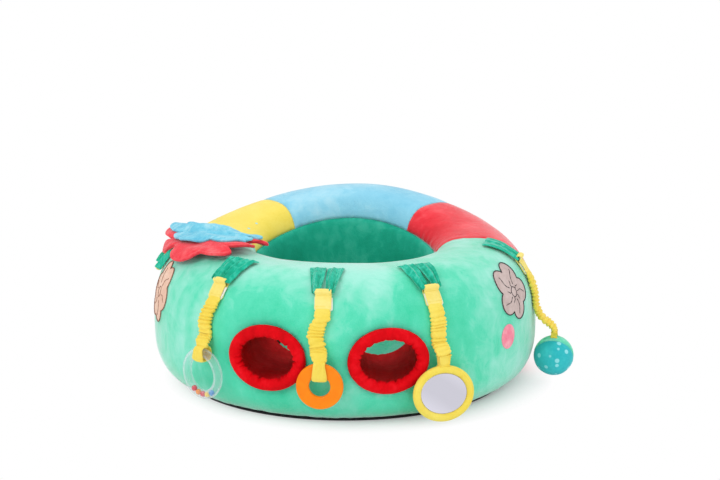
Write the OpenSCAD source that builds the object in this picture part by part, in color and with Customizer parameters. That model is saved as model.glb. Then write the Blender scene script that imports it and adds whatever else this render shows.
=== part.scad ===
// Inflatable baby floor seat: a fabric-covered ring with a raised back, two leg openings,
// a seat pad, and toys that hang from fabric loops. The front is -Y, +Z is up, and the
// origin is the middle of the base on the floor. Angles round the ring start at the front.

/* [Ring] */
// Outer radius of the covered ring at its belly
ring_outer_r = 275; // [268:1:285]
// Radius of the circle under the ridge
ridge_r = 190; // [186:1:196]
// Radius of the seat well at its narrowest
well_r = 118; // [112:1:122]
// Height of the ridge at the front and the sides
front_h = 200; // [194:1:210]
// How much higher the ridge stands at the back
back_rise = 35; // [28:1:50]
// Height at which the outside is widest
belly_z = 80; // [76:1:86]
// Height at which the well is narrowest
well_belly_z = 100; // [94:1:106]
// Roundness of the outer shoulder, where 2 is an ellipse
shoulder_power = 2.4; // [2.3:0.1:2.5]
// Roundness of the well's shoulder
well_power = 3.2; // [3:0.1:3.4]
// Roundness of the foot
foot_power = 3; // [2.8:0.1:3.2]

/* [Cover] */
// Thickness of the padded pile fabric
cover_t = 2.5; // [2:0.1:3]
// Angle from the front of the seam between the front panel and the back panels
side_seam = 92; // [90:1:95]
// Angle from the front of the seams on either side of the middle back panel
back_seam = 140; // [134:1:146]
// Height of the seam between the panels and the wall of the well
well_seam_z = 172; // [166:1:178]
// Thickness of the non-slip base
base_t = 4; // [3:0.5:4.5]
// Gap left at each seam
seam_gap = 0.3; // [0.2:0.1:0.6]

/* [Bladder] */
// Thickness of the inflated sheet
bladder_t = 1; // [0.8:0.1:1.4]
// Gap between the cover and what it encloses
cover_gap = 1; // [0.9:0.1:1.2]
// Width of the hairline at each weld of the inflated ring
bladder_weld = 0.2; // [0.1:0.1:0.4]
// Number of gores welded into the sides and the back
back_gores = 9; // [8:1:12]
// Angle from the front at which they meet the front, which holds the leg tunnels
front_half_deg = 70; // [70:1:74]
// Angle from the front of the valve
valve_deg = 195; // [185:1:205]
// Height of the valve
valve_z = 84; // [78:1:90]
// Radius of the valve's recess
valve_r = 12; // [11:0.5:14]
// Depth of the valve's recess
valve_depth = 14; // [13:0.5:17]
// Wall of the valve
valve_wall = 1.6; // [1.2:0.1:2]
// Width of the valve's welded flange
valve_flange = 5; // [4:0.5:7]
// Diameter of the valve's bore
valve_bore = 8; // [7:0.5:9]
// Length of the tube round the bore
valve_tube = 9; // [7:0.5:10]
// Diameter of the plug's head
plug_head_d = 14; // [13:0.5:16]
// Thickness of the plug's head
plug_head_t = 3; // [2:0.5:4]

/* [Leg openings] */
// Distance of each opening's middle from the centre plane, at the front
leg_x = 80; // [78:1:84]
// Distance of that point in front of the centre
leg_y = 262; // [255:1:266]
// Height of each opening's middle
leg_z = 94; // [90:1:98]
// Width of each opening over its padded rim
leg_w = 106; // [100:1:108]
// Height of each opening over its padded rim
leg_h = 87; // [82:1:92]
// Outward turn of each leg tunnel
leg_splay = 6; // [4:0.5:7]
// Diameter of the padded rim
rim_d = 15; // [12:0.5:17]
// How deep the rim sits in the opening's mouth
rim_seat = 5; // [4:0.5:6]
// Thickness of the tunnel's lining
lining_t = 2; // [1.5:0.1:2.5]
// Clearance round the lining
lining_gap = 0.3; // [0.2:0.1:0.5]

/* [Seat pad] */
// Radius of the seat pad
pad_r = 113; // [105:1:115]
// Height of the pad's edge seam above the base
pad_seam_h = 14; // [11:1:17]
// Height of the pad's crown above the base
pad_crown_h = 30; // [25:1:36]
// Depth of the stitched channel round the pad
pad_channel = 4; // [2:0.5:6]
// Radius of the stitched channel
pad_channel_r = 62; // [50:1:72]
// Half of the channel's width
pad_channel_w = 7; // [5:0.5:9]
// How far the pad's side is drawn in at its foot
pad_draw = 5; // [3:0.5:7]

/* [Zip] */
// Height of the zip
zip_z = 34; // [31:1:40]
// Half of the zip's length, as an angle
zip_half_deg = 30; // [24:1:34]
// Width of the zip's tape
zip_tape_w = 24; // [20:1:28]
// Thickness of the zip's tape
zip_tape_t = 0.8; // [0.6:0.1:1.2]
// Pitch of the zip's teeth
tooth_pitch = 3; // [2.8:0.1:4]
// Height of each tooth above the tape
tooth_h = 1.4; // [1.2:0.1:1.8]
// Length of each tooth across the tape
tooth_w = 3.4; // [3:0.1:4]
// Clearance between the slider and the teeth
slider_gap = 0.4; // [0.3:0.1:0.6]
// Wall of the slider
slider_wall = 1.2; // [1:0.1:1.6]
// Length of the slider along the teeth
slider_l = 10; // [8:0.5:12]
// Length of the pull tab
pull_l = 17; // [14:1:20]

/* [Loops] */
// Angle from the front of the rattle's loop, to the left
rattle_deg = 36; // [35:1:38]
// Angle from the front of the teether's loop, to the left
teether_deg = 1.5; // [0.5:0.5:2]
// Angle from the front of the mirror's loop, to the right
mirror_deg = 31.5; // [31:0.5:34]
// Angle from the front of the two side loops
side_loop_deg = 82; // [80:1:84]
// Thickness of the loop's fabric
loop_t = 3; // [2.5:0.1:3.2]
// Width of each of the loop's legs at its sewn end
loop_leg_w = 22; // [20:1:23]
// Width of each leg where it is bunched at the bar
loop_pinch_w = 5; // [4:0.5:7]
// Slit between the two legs at their sewn ends
loop_slit = 3; // [2:0.5:6]
// Diameter of the gathered bar at the bottom of the loop
bar_d = 6; // [5:0.2:6.4]
// Clearance between the loop and the cover
loop_gap = 0.4; // [0.3:0.1:0.6]

/* [Straps] */
// Width of the hook-and-loop tab
tab_w = 22; // [20:1:23]
// Thickness of each layer of the tab
tab_t = 1.6; // [1.3:0.1:1.8]
// Clearance of the tab round the loop's bar
tab_gap = 0.4; // [0.3:0.1:0.5]
// Length of the tab below the bar
tab_l = 24; // [22:1:25]
// How far the hook tape shows at each of the tab's edges
hook_show = 1; // [0.6:0.1:1.4]
// Thickness of the hook tape
hook_t = 0.9; // [0.7:0.1:1.1]
// Width of the gathered elastic strap
strap_w = 20; // [17:1:21]
// Thickness of the gathered elastic strap
strap_t = 7; // [6:0.5:8]
// Depth of the strap's gathers, as a share of its size
gather_depth = 0.16; // [0.08:0.02:0.2]
// Number of gathers in each strap
gathers = 13; // [10:1:15]
// Width of the narrow end of the strap that holds a toy ring
link_w = 18; // [14:1:18]
// Wall of that narrow end
link_t = 1.5; // [1.2:0.1:1.8]
// Clearance of the narrow end round the toy ring
link_gap = 0.6; // [0.4:0.1:0.9]
// How far outside the ring's belly the front toys hang
toy_stand = 15; // [14:1:19]
// Height of the end of each front strap
strap_end_z = 99; // [96:1:104]

/* [Rattle ring] */
// Radius of the rattle ring to the middle of its tube
rattle_r = 29; // [27:0.5:31]
// Diameter of the rattle ring's clear tube
rattle_tube_d = 12.4; // [11:0.2:13]
// Wall of the clear tube
rattle_wall = 1.2; // [1:0.1:1.5]
// Diameter of each bead
bead_d = 8; // [6.5:0.1:8]
// Number of beads
beads = 5; // [3:1:6]

/* [Teether ring] */
// Outer radius of the teether
teether_r = 31; // [29:0.5:32]
// Radius of the teether's hole
teether_hole_r = 14; // [12:0.5:15]
// Thickness of the teether
teether_t = 7; // [6:0.5:8]
// Radius of the teether's rounded edges
teether_round = 2.2; // [1.5:0.1:2.6]

/* [Mirror] */
// Width of the mirror over its fabric rim
mirror_w = 92; // [84:1:94]
// Height of the mirror over its fabric rim
mirror_h = 77; // [70:1:78]
// Diameter of the fabric rim
mirror_rim_d = 11; // [9:0.5:12]
// Thickness of the mirror sheet
mirror_t = 2; // [1.5:0.1:2.5]
// Thickness of the backing board
backing_t = 2.2; // [1.8:0.1:2.6]
// Height of the mirror's middle
mirror_z = 47; // [46:1:49]
// Turn of the oval mirror on its strap
mirror_turn = -14; // [-18:1:0]

/* [Ball] */
// Radius of the ball
ball_r = 28.5; // [26:0.5:30]
// Height of the ball's middle
ball_z = 41; // [39:1:46]
// Clearance between the ball and the ring's belly
ball_gap = 0.5; // [0.5:0.5:6]
// Radius of the rattle capsule in the ball
capsule_r = 10; // [8:0.5:12]
// Turn of the seam between the ball's halves
ball_seam_turn = 25; // [0:5:60]

/* [Leaf toy] */
// Thickness of each crinkle leaf
leaf_t = 2.2; // [1.8:0.1:2.6]
// Gap between the two leaves
leaf_gap = 1.2; // [0.8:0.1:1.6]
// Height of the lower leaf above the cover
leaf_lift = 9; // [8.5:0.1:10]

/* [Patches] */
// Diameter of the round patch
dot_d = 34; // [30:1:38]
// Height of its middle
dot_z = 96; // [92:1:100]
// Width of the peach patch
peach_w = 72; // [66:1:76]
// Height of the peach patch
peach_h = 84; // [78:1:88]
// Height of its middle
peach_z = 136; // [132:1:138]
// Width of the taupe patch
taupe_w = 84; // [78:1:88]
// Height of the taupe patch
taupe_h = 72; // [66:1:76]
// Height of its middle
taupe_z = 150; // [146:1:152]
// Thickness of the sewn patches
patch_t = 0.8; // [0.6:0.1:1]

/* [Hidden] */

mint = [0.45, 0.88, 0.75];
leaf_green = [0.1, 0.65, 0.52];
yellow = [0.98, 0.87, 0.35];
red = [0.93, 0.12, 0.2];
pale_blue = [0.45, 0.8, 0.92];
black = [0.08, 0.08, 0.09];

$fn = 96;
toy_r = ring_outer_r + toy_stand;                 // radius of the circle on which the toys hang
ball_path_r = ring_outer_r + ball_r + ball_gap;   // and of the one on which the ball hangs
seam_z = base_t + seam_gap;     // height of the cover's lower edge
foot_steps = 9;                 // facets along the foot
top_steps = 26;                 // facets over the top
panel_step = 6;                 // degrees between the sections of a shaped panel
rise_power = 2.2;               // how late the back starts to rise
gap_deg = seam_gap / 2 / well_r * 180 / PI;

// ---- the ring's section -------------------------------------------------------------
// t runs from the belly, 0, over the ridge, 90, to the well, 180, and under, 270.
// h is the ridge's height there and d how far the section is drawn in.
function spow(x, p) = sign(x) * pow(abs(x), p);
function rise(a) = back_rise * pow(max(0, -cos(a)), rise_power);
function power_at(t) = sin(t) < 0 ? foot_power : (cos(t) >= 0 ? shoulder_power : well_power);
function sec(t, h = front_h, d = 0) =
  let (out = cos(t) >= 0, p = power_at(t), zb = out ? belly_z : well_belly_z,
       half = (out ? ring_outer_r - ridge_r : ridge_r - well_r) - d)
  [ridge_r + half * spow(cos(t), 2 / p),
   sin(t) >= 0 ? zb + (h - d - zb) * spow(sin(t), 2 / p)
               : zb + (zb - d) * spow(sin(t), 2 / p)];
function unit2(v) = v / norm(v);
// a point of the section moved e outward along its normal
function off(t, e, h = front_h) =
  let (g = unit2(sec(t + 0.5, h) - sec(t - 0.5, h))) sec(t, h) + e * [g[1], -g[0]];
// t at which the outside passes height z, and its radius there
function t_outside(z) = z >= belly_z
  ? asin(pow((z - belly_z) / (front_h - belly_z), shoulder_power / 2))
  : -asin(pow((belly_z - z) / belly_z, foot_power / 2));
function r_outside(z) = sec(t_outside(z))[0];
t_foot = t_outside(seam_z);
t_well_seam = 180 - asin(pow((well_seam_z - well_belly_z) / (front_h - well_belly_z),
                             well_power / 2));
t_well_foot = 180 + asin(pow((well_belly_z - seam_z) / well_belly_z, foot_power / 2));
function steps(a, b, n) = [for (i = [0:n]) a + (b - a) * i / n];
function reversed(v) = [for (i = [len(v) - 1:-1:0]) v[i]];
function band(ts, h, d0, d1) =
  concat([for (t = ts) sec(t, h, d0)], [for (t = reversed(ts)) sec(t, h, d1)]);
function at(a, rz) = [rz[0] * sin(a), -rz[0] * cos(a), rz[1]];
front_ts = concat(steps(t_foot, -4, foot_steps), steps(0, t_well_seam, top_steps));
panel_ts = concat(steps(t_foot, -12, 5), steps(0, t_well_seam, 17));

// ---- shapes -------------------------------------------------------------------------
// A closed skin over rings of as many points each; strip caps join point j to its opposite
module skin(rings, closed = false, flip = false, strip = false) {
  nr = len(rings);
  ns = len(rings[0]);
  last = (nr - 1) * ns;
  sides = [for (i = [0:nr - (closed ? 1 : 2)], j = [0:ns - 1])
    let (k = (i + 1) % nr, m = (j + 1) % ns, a = i * ns + j, b = i * ns + m,
         c = k * ns + m, d = k * ns + j)
    each [[a, c, b], [a, d, c]]];
  caps = closed ? [] : strip
    ? [for (j = [0:ns / 2 - 2]) let (o = ns - 1 - j)
        each [[j, j + 1, o], [j + 1, o - 1, o],
              [last + j, last + o, last + j + 1], [last + j + 1, last + o, last + o - 1]]]
    : [for (j = [1:ns - 2]) each [[0, j, j + 1], [last, last + j + 1, last + j]]];
  faces = concat(sides, caps);
  polyhedron([for (r = rings) each r],
             flip ? [for (f = faces) [f[0], f[2], f[1]]] : faces);
}
// A piece of the ring between two angles, of constant height: a true revolve
module sector(a0, a1, pts)
  rotate([0, 0, a0 - 90]) rotate_extrude(angle = a1 - a0) polygon(pts);
// A piece of the ring that follows the raised back
module raised_patch(a0, a1, ts, d0, d1) {
  n = ceil((a1 - a0) / panel_step);
  skin([for (a = steps(a0, a1, n)) [for (p = band(ts, front_h + rise(a), d0, d1)) at(a, p)]],
       flip = true, strip = true);
}
// A plate in the upright plane at angle a; its outline is in radius and height
module radial_plate(a, w) rotate([0, 0, a]) rotate([90, 0, -90])
  linear_extrude(w, center = true) children();
// x along the ring, y up, z outward
module radial_frame(a, rz) translate(at(a, rz)) rotate([90, 0, a]) children();

// ---- leg openings -------------------------------------------------------------------
// side is -1 or 1; x is across the opening, y up and z out along the tunnel
module leg_frame(side) translate([side * leg_x, -leg_y, leg_z])
  rotate([90, 0, side * leg_splay]) children();
leg_in = leg_y - 30;            // how far the tunnel runs in, which is into the well
leg_out = 60;
leg_sides = 40;                 // facets round each opening
module leg_prism(grow) leg_prism_sized(leg_w + 2 * grow, leg_h + 2 * grow);
module leg_prism_sized(w, h) translate([0, 0, -leg_in])
  linear_extrude(leg_in + leg_out) polygon(oval(w, h, leg_sides));
module both_leg_prisms(grow) for (side = [-1, 1]) leg_frame(side) leg_prism(grow);

module cover_front() color(mint) difference() {
  sector(-side_seam + gap_deg, side_seam - gap_deg, band(front_ts, front_h, 0, cover_t));
  both_leg_prisms(lining_gap);
}
module cover_back_red() color(red)
  raised_patch(side_seam + gap_deg, back_seam - gap_deg, panel_ts, 0, cover_t);
module cover_back_blue() color(pale_blue)
  raised_patch(back_seam + gap_deg, 360 - back_seam - gap_deg, panel_ts, 0, cover_t);
module cover_back_yellow() color(yellow)
  raised_patch(360 - back_seam + gap_deg, 360 - side_seam - gap_deg, panel_ts, 0, cover_t);
wall_top = gap_deg * 2;
wall_ts = steps(t_well_seam + wall_top, t_well_foot, 12);
module well_wall_front() color(leaf_green) difference() {
  sector(-side_seam + gap_deg, side_seam - gap_deg, band(wall_ts, front_h, 0, cover_t));
  both_leg_prisms(lining_gap);
}
module well_wall_back() color(leaf_green)
  raised_patch(side_seam + gap_deg, 360 - side_seam - gap_deg, wall_ts, 0, cover_t);

base_r = sec(t_foot)[0] + 1;
module base_panel() color(black) cylinder(r = base_r, h = base_t, $fn = 180);

// The pad's section: a flat underside, a drawn-in edge, a crown and one stitched channel
module seat_pad() color(mint) {
  lift = base_t + seam_gap;
  edge = [for (i = [0:6]) let (k = i / 6)
    [pad_r - pad_draw * pow(1 - k, 2), lift + pad_seam_h * k]];
  crown_at = function (x) lift + pad_seam_h + (pad_crown_h - pad_seam_h)
    * pow(max(0, 1 - pow(x / pad_r, 3)), 0.5)
    - pad_channel * exp(-pow((x - pad_channel_r) / pad_channel_w, 2));
  crown = [for (i = [1:24]) let (x = pad_r * (1 - pow(i / 24, 1.5))) [x, crown_at(x)]];
  rotate_extrude() polygon(concat([[0, lift]], edge, crown));
}

// ---- what the cover holds -----------------------------------------------------------
bladder_d = cover_t + cover_gap;
function floor_cut(pts, z) = [for (p = pts) [p[0], max(p[1], z)]];
ring_ts = steps(0, 354, 59);
module bladder_solid(grow) rotate_extrude()
  polygon(floor_cut([for (t = ring_ts) sec(t, front_h, bladder_d + grow)], seam_z + grow));
// The ring is welded from panels, and a hairline at each weld parts them
module bladder_shell() difference() {
  bladder_solid(0);
  difference() {
    bladder_solid(bladder_t);
    both_leg_prisms(lining_gap + bladder_t);
  }
  both_leg_prisms(lining_gap);
  radial_frame(valve_deg, [r_outside(valve_z) - valve_depth, valve_z])
    cylinder(r = valve_r, h = 2 * valve_depth);
}
leg_side = leg_w / 2 + lining_gap + bladder_t;    // the welds on either side of a tunnel
leg_crown = leg_w * 0.24;                         // and the two welds over its arch
// a wedge between two angles
module wedge(a0, a1) rotate([0, 0, a0 - 90]) translate([0, 0, -1])
  rotate_extrude(angle = a1 - a0) square([2 * ring_outer_r, 2 * front_h]);
// the room between two welds beside or over a tunnel, above or below its middle
module leg_cell(side, x0, x1, up) leg_frame(side)
  translate([x0 + bladder_weld / 2, up ? bladder_weld / 2 : -leg_z - 1, -leg_in])
    cube([x1 - x0 - bladder_weld, leg_z + 1 + (up ? front_h : -bladder_weld / 2),
          leg_in + 2 * leg_out]);
module inflated_front() color([0.82, 0.86, 0.88]) {
  for (side = [-1, 1], up = [0, 1], x = [[-leg_side, -leg_crown], [-leg_crown, leg_crown],
                                         [leg_crown, leg_side]])
    intersection() {
      bladder_shell();
      leg_cell(side, x[0], x[1], up == 1);
    }
  // between the tunnels
  difference() {
    intersection() {
      bladder_shell();
      wedge(-20, 20);
    }
    for (side = [-1, 1]) leg_frame(side) translate([side > 0 ? -leg_side - bladder_weld / 2
        : leg_side + bladder_weld / 2 - 2 * front_h, -front_h, -leg_in])
      cube([2 * front_h, 3 * front_h, 2 * leg_in]);
  }
  // outside them
  for (side = [-1, 1], a = [[20, 50], [50, front_half_deg]]) difference() {
    intersection() {
      bladder_shell();
      wedge(side > 0 ? a[0] + weld_deg : -a[1] + weld_deg,
            side > 0 ? a[1] - weld_deg : -a[0] - weld_deg);
    }
    leg_frame(side) translate([side > 0 ? leg_side + bladder_weld / 2 - 2 * front_h
        : -leg_side - bladder_weld / 2, -front_h, -2 * leg_in])
      cube([2 * front_h, 3 * front_h, 4 * leg_in]);
  }
}
weld_deg = bladder_weld / 2 / well_r * 180 / PI;
module inflated_back() color([0.82, 0.86, 0.88]) for (i = [0:back_gores - 1]) {
  span = (360 - 2 * front_half_deg) / back_gores;
  intersection() {
    bladder_shell();
    wedge(front_half_deg + span * i + weld_deg, front_half_deg + span * (i + 1) - weld_deg);
  }
}
// A crescent cushion that raises the back, between the inflated ring and the cover
bolster_from = 118;
bolster_ts = steps(38, 142, 12);
bolster_gap = 1.2;                                // its clearance over the inflated ring
module back_bolster() color("white") {
  n = 20;
  skin([for (a = steps(bolster_from, 360 - bolster_from, n))
    [for (p = concat([for (t = bolster_ts) sec(t, front_h + rise(a), bladder_d)],
                     [for (t = reversed(bolster_ts)) sec(t, front_h, bladder_d - bolster_gap)]))
      at(a, p)]],
    flip = true, strip = true);
}
// A dished valve welded inside the sheet, with its bore in the middle of the dish
valve_clear = 0.2;
valve_seat_r = r_outside(valve_z) - bladder_d - bladder_t - valve_depth;
module valve_body() color("white") difference() {
  union() {
    intersection() {
      radial_frame(valve_deg, [valve_seat_r, valve_z])
        cylinder(r = valve_r + valve_flange, h = 2 * valve_depth);
      difference() {
        bladder_solid(bladder_t);
        bladder_solid(bladder_t + valve_wall);
      }
    }
    intersection() {
      bladder_solid(bladder_t);
      radial_frame(valve_deg, [valve_seat_r, valve_z])
        cylinder(r = valve_r + valve_wall, h = 2 * valve_depth);
    }
    radial_frame(valve_deg, [valve_seat_r - valve_tube, valve_z])
      cylinder(d = valve_bore + 2 * valve_wall, h = valve_tube + 1);
  }
  radial_frame(valve_deg, [valve_seat_r + valve_wall, valve_z])
    cylinder(r = valve_r, h = 3 * valve_depth);
  radial_frame(valve_deg, [valve_seat_r - 2 * valve_tube, valve_z])
    cylinder(d = valve_bore, h = 4 * valve_tube);
}
module valve_plug() color("white")
  radial_frame(valve_deg, [valve_seat_r + valve_wall + valve_clear, valve_z]) {
    cylinder(d = plug_head_d, h = plug_head_t);
    translate([0, 0, -valve_tube]) cylinder(d = valve_bore - 2 * valve_clear, h = valve_tube + 1);
  }

// The tunnel's fabric, from behind the rim to the wall of the well
module leg_lining(side) color(red) difference() {
  intersection() {
    rotate_extrude() polygon([for (t = ring_ts)
      sec(t, front_h, cos(t) >= 0 ? cover_t + rim_seat : 0)]);
    leg_frame(side) leg_prism(0);
  }
  leg_frame(side) leg_prism(-lining_t);
}
// The padded rim sits in the opening's mouth, part of it proud of the cover, and is
// gathered on the side that faces the tunnel
rim_gathers = 16;
module leg_rim(side) color(red) {
  w = leg_w - rim_d;
  h = leg_h - rim_d;
  n = 3 * rim_gathers;
  dir = [sin(side * leg_splay), -cos(side * leg_splay)];
  across = [cos(side * leg_splay), sin(side * leg_splay)];
  // distance out along the tunnel to the ring's surface, at a place in the opening
  reach = function (x, y) let (q = [side * leg_x, -leg_y] + x * across, b = q * dir,
    r = r_outside(leg_z + y)) -b + sqrt(b * b - q * q + r * r);
  leg_frame(side) skin([for (i = [0:n - 1])
    let (a = (i + 0.5) * 360 / n, q = unit2([cos(a) * h, sin(a) * w]),
         x = w / 2 * cos(a), y = h / 2 * sin(a),
         out = reach(x, y) + rim_d / 2 - rim_seat - lining_gap)
    [for (k = [0:7]) let (e = (k + 0.5) * 45,
        r = rim_d / 2 * (i % 3 == 0 && cos(e) < 0 ? 1 - gather_depth / 2 : 1))
      [x + r * cos(e) * q[0], y + r * cos(e) * q[1], out + r * sin(e)]]], closed = true, flip = true);
}

// ---- zip, low on the back -----------------------------------------------------------
zip_t = t_outside(zip_z);
zip_at = off(zip_t, 0.1 + zip_tape_t);
zip_n = off(zip_t, 1) - off(zip_t, 0);
module zip_frame(a) radial_frame(a, zip_at) rotate([-asin(zip_n[1]), 0, 0]) children();
module zip_tape() color(pale_blue) {
  half = zip_tape_w / 2;
  lo = t_outside(zip_z - half);
  hi = t_outside(zip_z + half);
  ts = steps(lo, hi, 4);
  sector(180 - zip_half_deg - 3, 180 + zip_half_deg + 3,
    concat([for (t = ts) off(t, 0.1)], [for (t = reversed(ts)) off(t, 0.1 + zip_tape_t)]));
}
module zip_teeth() color(pale_blue) {
  n = floor(2 * zip_half_deg * PI / 180 * zip_at[0] / tooth_pitch);
  for (i = [0:n]) zip_frame(180 - zip_half_deg + 2 * zip_half_deg * i / n)
    translate([-tooth_pitch * 0.3, -tooth_w / 2 + (i % 2 - 0.5) * 0.8, 0.05])
      cube([tooth_pitch * 0.6, tooth_w, tooth_h]);
}
slider_at = 180 + zip_half_deg - 2;
slider_w = tooth_w + 0.8 + 2 * slider_gap + 2 * slider_wall;
slider_h = 0.3 + tooth_h + slider_gap + slider_wall;
eye_h = 3;
module zip_slider() color("silver") zip_frame(slider_at) difference() {
  union() {
    translate([-slider_l / 2, -slider_w / 2, 0.3]) cube([slider_l, slider_w, slider_h - 0.3]);
    translate([-slider_l / 2 + 1.5, -1.6, slider_h]) cube([slider_l - 3, 3.2, eye_h]);
  }
  translate([-slider_l, slider_wall - slider_w / 2, 0])
    cube([2 * slider_l, slider_w - 2 * slider_wall, slider_h - slider_wall]);
  translate([-2.7, -5, slider_h + 0.4]) cube([5.4, 10, eye_h]);
  translate([-slider_l, 0, slider_h + eye_h / 2]) rotate([0, 90, 0])
    cylinder(d = 1.4, h = 2 * slider_l, $fn = 24);
}
module zip_pull() color("silver") zip_frame(slider_at) translate([0, 0, slider_h + eye_h / 2]) {
  rotate([0, 90, 0]) cylinder(d = 1, h = slider_l - 3.4, center = true, $fn = 24);
  translate([-2.2, -pull_l, -0.5]) cube([4.4, pull_l, 1]);
}

// ---- loops and straps ---------------------------------------------------------------
// Each loop is [angle, t of its bar, t of its sewn ends]
leaf_at = [-side_loop_deg, 36, 68];
rattle_at = [-rattle_deg, 51, 82];
teether_at = [-teether_deg, 51, 82];
mirror_at = [mirror_deg, 51, 82];
ball_at = [side_loop_deg, 51, 82];
bar_e = bar_d / 2 + tab_gap + tab_t + loop_gap;   // the bar's height above the cover
function bar_rz(place) = off(place[1], bar_e);
bar_l = tab_w + 2 * tab_gap;
// Each leg widens from the bar to its sewn end, where the two all but meet. The leaf's loop
// stays open, as the leaf's tab folds back between its legs
module cloth_loop(place, slit = loop_slit, w = loop_leg_w) color(leaf_green) {
  n = 8;
  ts = steps(place[1], place[2], n);
  mix = function (a, b, k) a + (b - a) * max(0, k);
  lift = function (i) mix(bar_e - loop_t / 2, loop_gap, i / n);
  inner = function (i) mix(bar_l, slit, (i - 2) / (n - 2)) / 2;
  outer = function (i) mix(bar_l / 2 + loop_pinch_w, slit / 2 + w, i / n);
  for (s = [-1, 1]) rotate([0, 0, place[0]]) skin([for (i = [0:n])
    [for (p = [[inner(i), 0], [outer(i), 0], [outer(i), loop_t], [inner(i), loop_t]])
      let (rz = off(ts[i], lift(i) + p[1])) [s * p[0], -rz[0], rz[1]]]], flip = s > 0);
  radial_plate(place[0], bar_l + loop_pinch_w) translate(bar_rz(place)) circle(d = bar_d);
}
// A tab folded round the loop's bar, two layers with the hook tape between them
tab_in = loop_gap;                                // the tab's height above the cover
tab_out = tab_in + 2 * tab_t + hook_t + 0.1;
function t_along(t, len, dir) = norm(off(t + dir, 1) - off(t, 1)) > len ? t
  : t_along(t + dir, len - norm(off(t + dir, 1) - off(t, 1)), dir);
function tab_ts(place) = steps(place[1], t_along(place[1], tab_l, -1), 6);
module strip(place, w, ts, e0, e1) radial_plate(place[0], w) polygon(
  concat([for (t = ts) off(t, e0)], [for (t = reversed(ts)) off(t, e1)]));
module fold_tab(place) color(yellow) difference() {
  union() {
    strip(place, tab_w, tab_ts(place), tab_in, tab_out);
    radial_plate(place[0], tab_w) translate(bar_rz(place))
      circle(d = bar_d + 2 * tab_gap + 2 * tab_t);
  }
  radial_plate(place[0], tab_w + 2) translate(bar_rz(place)) circle(d = bar_d + 2 * tab_gap);
  strip(place, tab_w + 2, hook_ts(place), tab_in + tab_t, tab_in + tab_t + hook_t + 0.1);
}
function hook_ts(place) = let (a = t_along(place[1], 7, -1), b = t_along(place[1], tab_l - 3, -1))
  steps(a, b, 4);
module hook_tape(place) color("white")
  strip(place, tab_w + 2 * hook_show, hook_ts(place), tab_in + tab_t + 0.05, tab_in + tab_t + hook_t + 0.05);

// The strap's middle line in radius and height, from the tab down to its end
strap_e = strap_t / 2 * (1 + gather_depth) + loop_gap;
strap_leaves = 12;                                // t at which it leaves the cover
function strap_line(place, end) =
  concat([for (t = steps(t_along(place[1], tab_l + strap_t / 6, -1), strap_leaves, 8))
           off(t, strap_e)], end);
function along(line, k) = let (n = len(line) - 1, x = min(k * n, n - 1e-6), i = floor(x))
  line[i] + (line[i + 1] - line[i]) * (x - i);
module gathered_strap(place, end) color(yellow) {
  line = strap_line(place, end);
  n = 2 * gathers;
  skin([for (i = [0:n]) let (k = i / n, p = along(line, k),
      g = unit2(along(line, min(1, k + 0.03)) - along(line, max(0, k - 0.03))),
      pinch = i == 0 || i == n ? 1 - gather_depth : 1 + gather_depth * (i % 2 == 0 ? -1 : 1))
    [for (j = [0:7]) let (a = (j + 0.5) * 45,
        side = strap_w / 2 * spow(cos(a), 0.6) * (1 + (pinch - 1) * 0.5),
        thick = strap_t / 2 * spow(sin(a), 0.7) * pinch,
        rz = p + thick * [-g[1], g[0]])
      at(place[0], rz) + side * [cos(place[0]), sin(place[0]), 0]]]);
}
front_end = [for (p = [[-1, 1.36], [-0.36, 0.93], [0, 0.5], [0, 0.04]])
  [toy_r + p[0] * strap_t, strap_end_z + p[1] * strap_t]];
rattle_top = rattle_r + rattle_tube_d / 2;
rattle_z = strap_end_z - 0.1 - link_t - link_gap - rattle_top;
teether_z = strap_end_z - 0.1 - link_t - link_gap - teether_r;
// The strap's end goes round the toy ring: hole_r is the ring's inner radius
module link(place, mid_z, hole_r, top_r, thick) color(yellow) radial_plate(place[0], link_w) {
  low = mid_z + sqrt(hole_r * hole_r - link_w * link_w / 4) - link_gap;
  high = mid_z + top_r + link_gap;
  half = thick / 2 + link_gap;
  difference() {
    translate([toy_r - half - link_t, low - link_t])
      square([2 * (half + link_t), high - low + 2 * link_t]);
    translate([toy_r - half, low]) square([2 * half, high - low]);
  }
}
module rattle_strap_end() link(rattle_at, rattle_z, rattle_r - rattle_tube_d / 2, rattle_top,
                               rattle_tube_d);
module teether_strap_end() link(teether_at, teether_z, teether_hole_r, teether_r, teether_t);

// ---- toys ---------------------------------------------------------------------------
module rattle_ring() color([0.9, 0.95, 0.98, 0.4]) radial_frame(rattle_at[0], [toy_r, rattle_z])
  rotate_extrude() translate([rattle_r, 0]) difference() {
    circle(d = rattle_tube_d, $fn = 48);
    circle(d = rattle_tube_d - 2 * rattle_wall, $fn = 48);
  }
module rattle_beads() {
  bead_step = 2 * asin(bead_d / 2 / rattle_r) + 1;
  for (i = [0:beads - 1])
    color([red, "orange", "dodgerblue", yellow, "limegreen", "orange"][i])
      radial_frame(rattle_at[0], [toy_r, rattle_z]) rotate([0, 0, (i - (beads - 1) / 2) * bead_step])
        translate([0, -rattle_r, 0]) sphere(d = bead_d, $fn = 32);
}
module teether_ring() color("darkorange") radial_frame(teether_at[0], [toy_r, teether_z])
  rotate_extrude() {
    a = teether_hole_r + teether_round;
    b = teether_r - teether_round;
    c = teether_t / 2 - teether_round;
    for (x = [a, b], y = [-c, c]) translate([x, y]) circle(r = teether_round, $fn = 32);
    translate([a, -teether_t / 2]) square([b - a, teether_t]);
    translate([teether_hole_r, -c]) square([teether_r - teether_hole_r, 2 * c]);
  }
function oval(w, h, n) = [for (i = [0:n - 1]) [w / 2 * cos(i * 360 / n), h / 2 * sin(i * 360 / n)]];
module mirror_frame() radial_frame(mirror_at[0], [toy_r + 1, mirror_z])
  rotate([0, 0, mirror_turn]) children();
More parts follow.
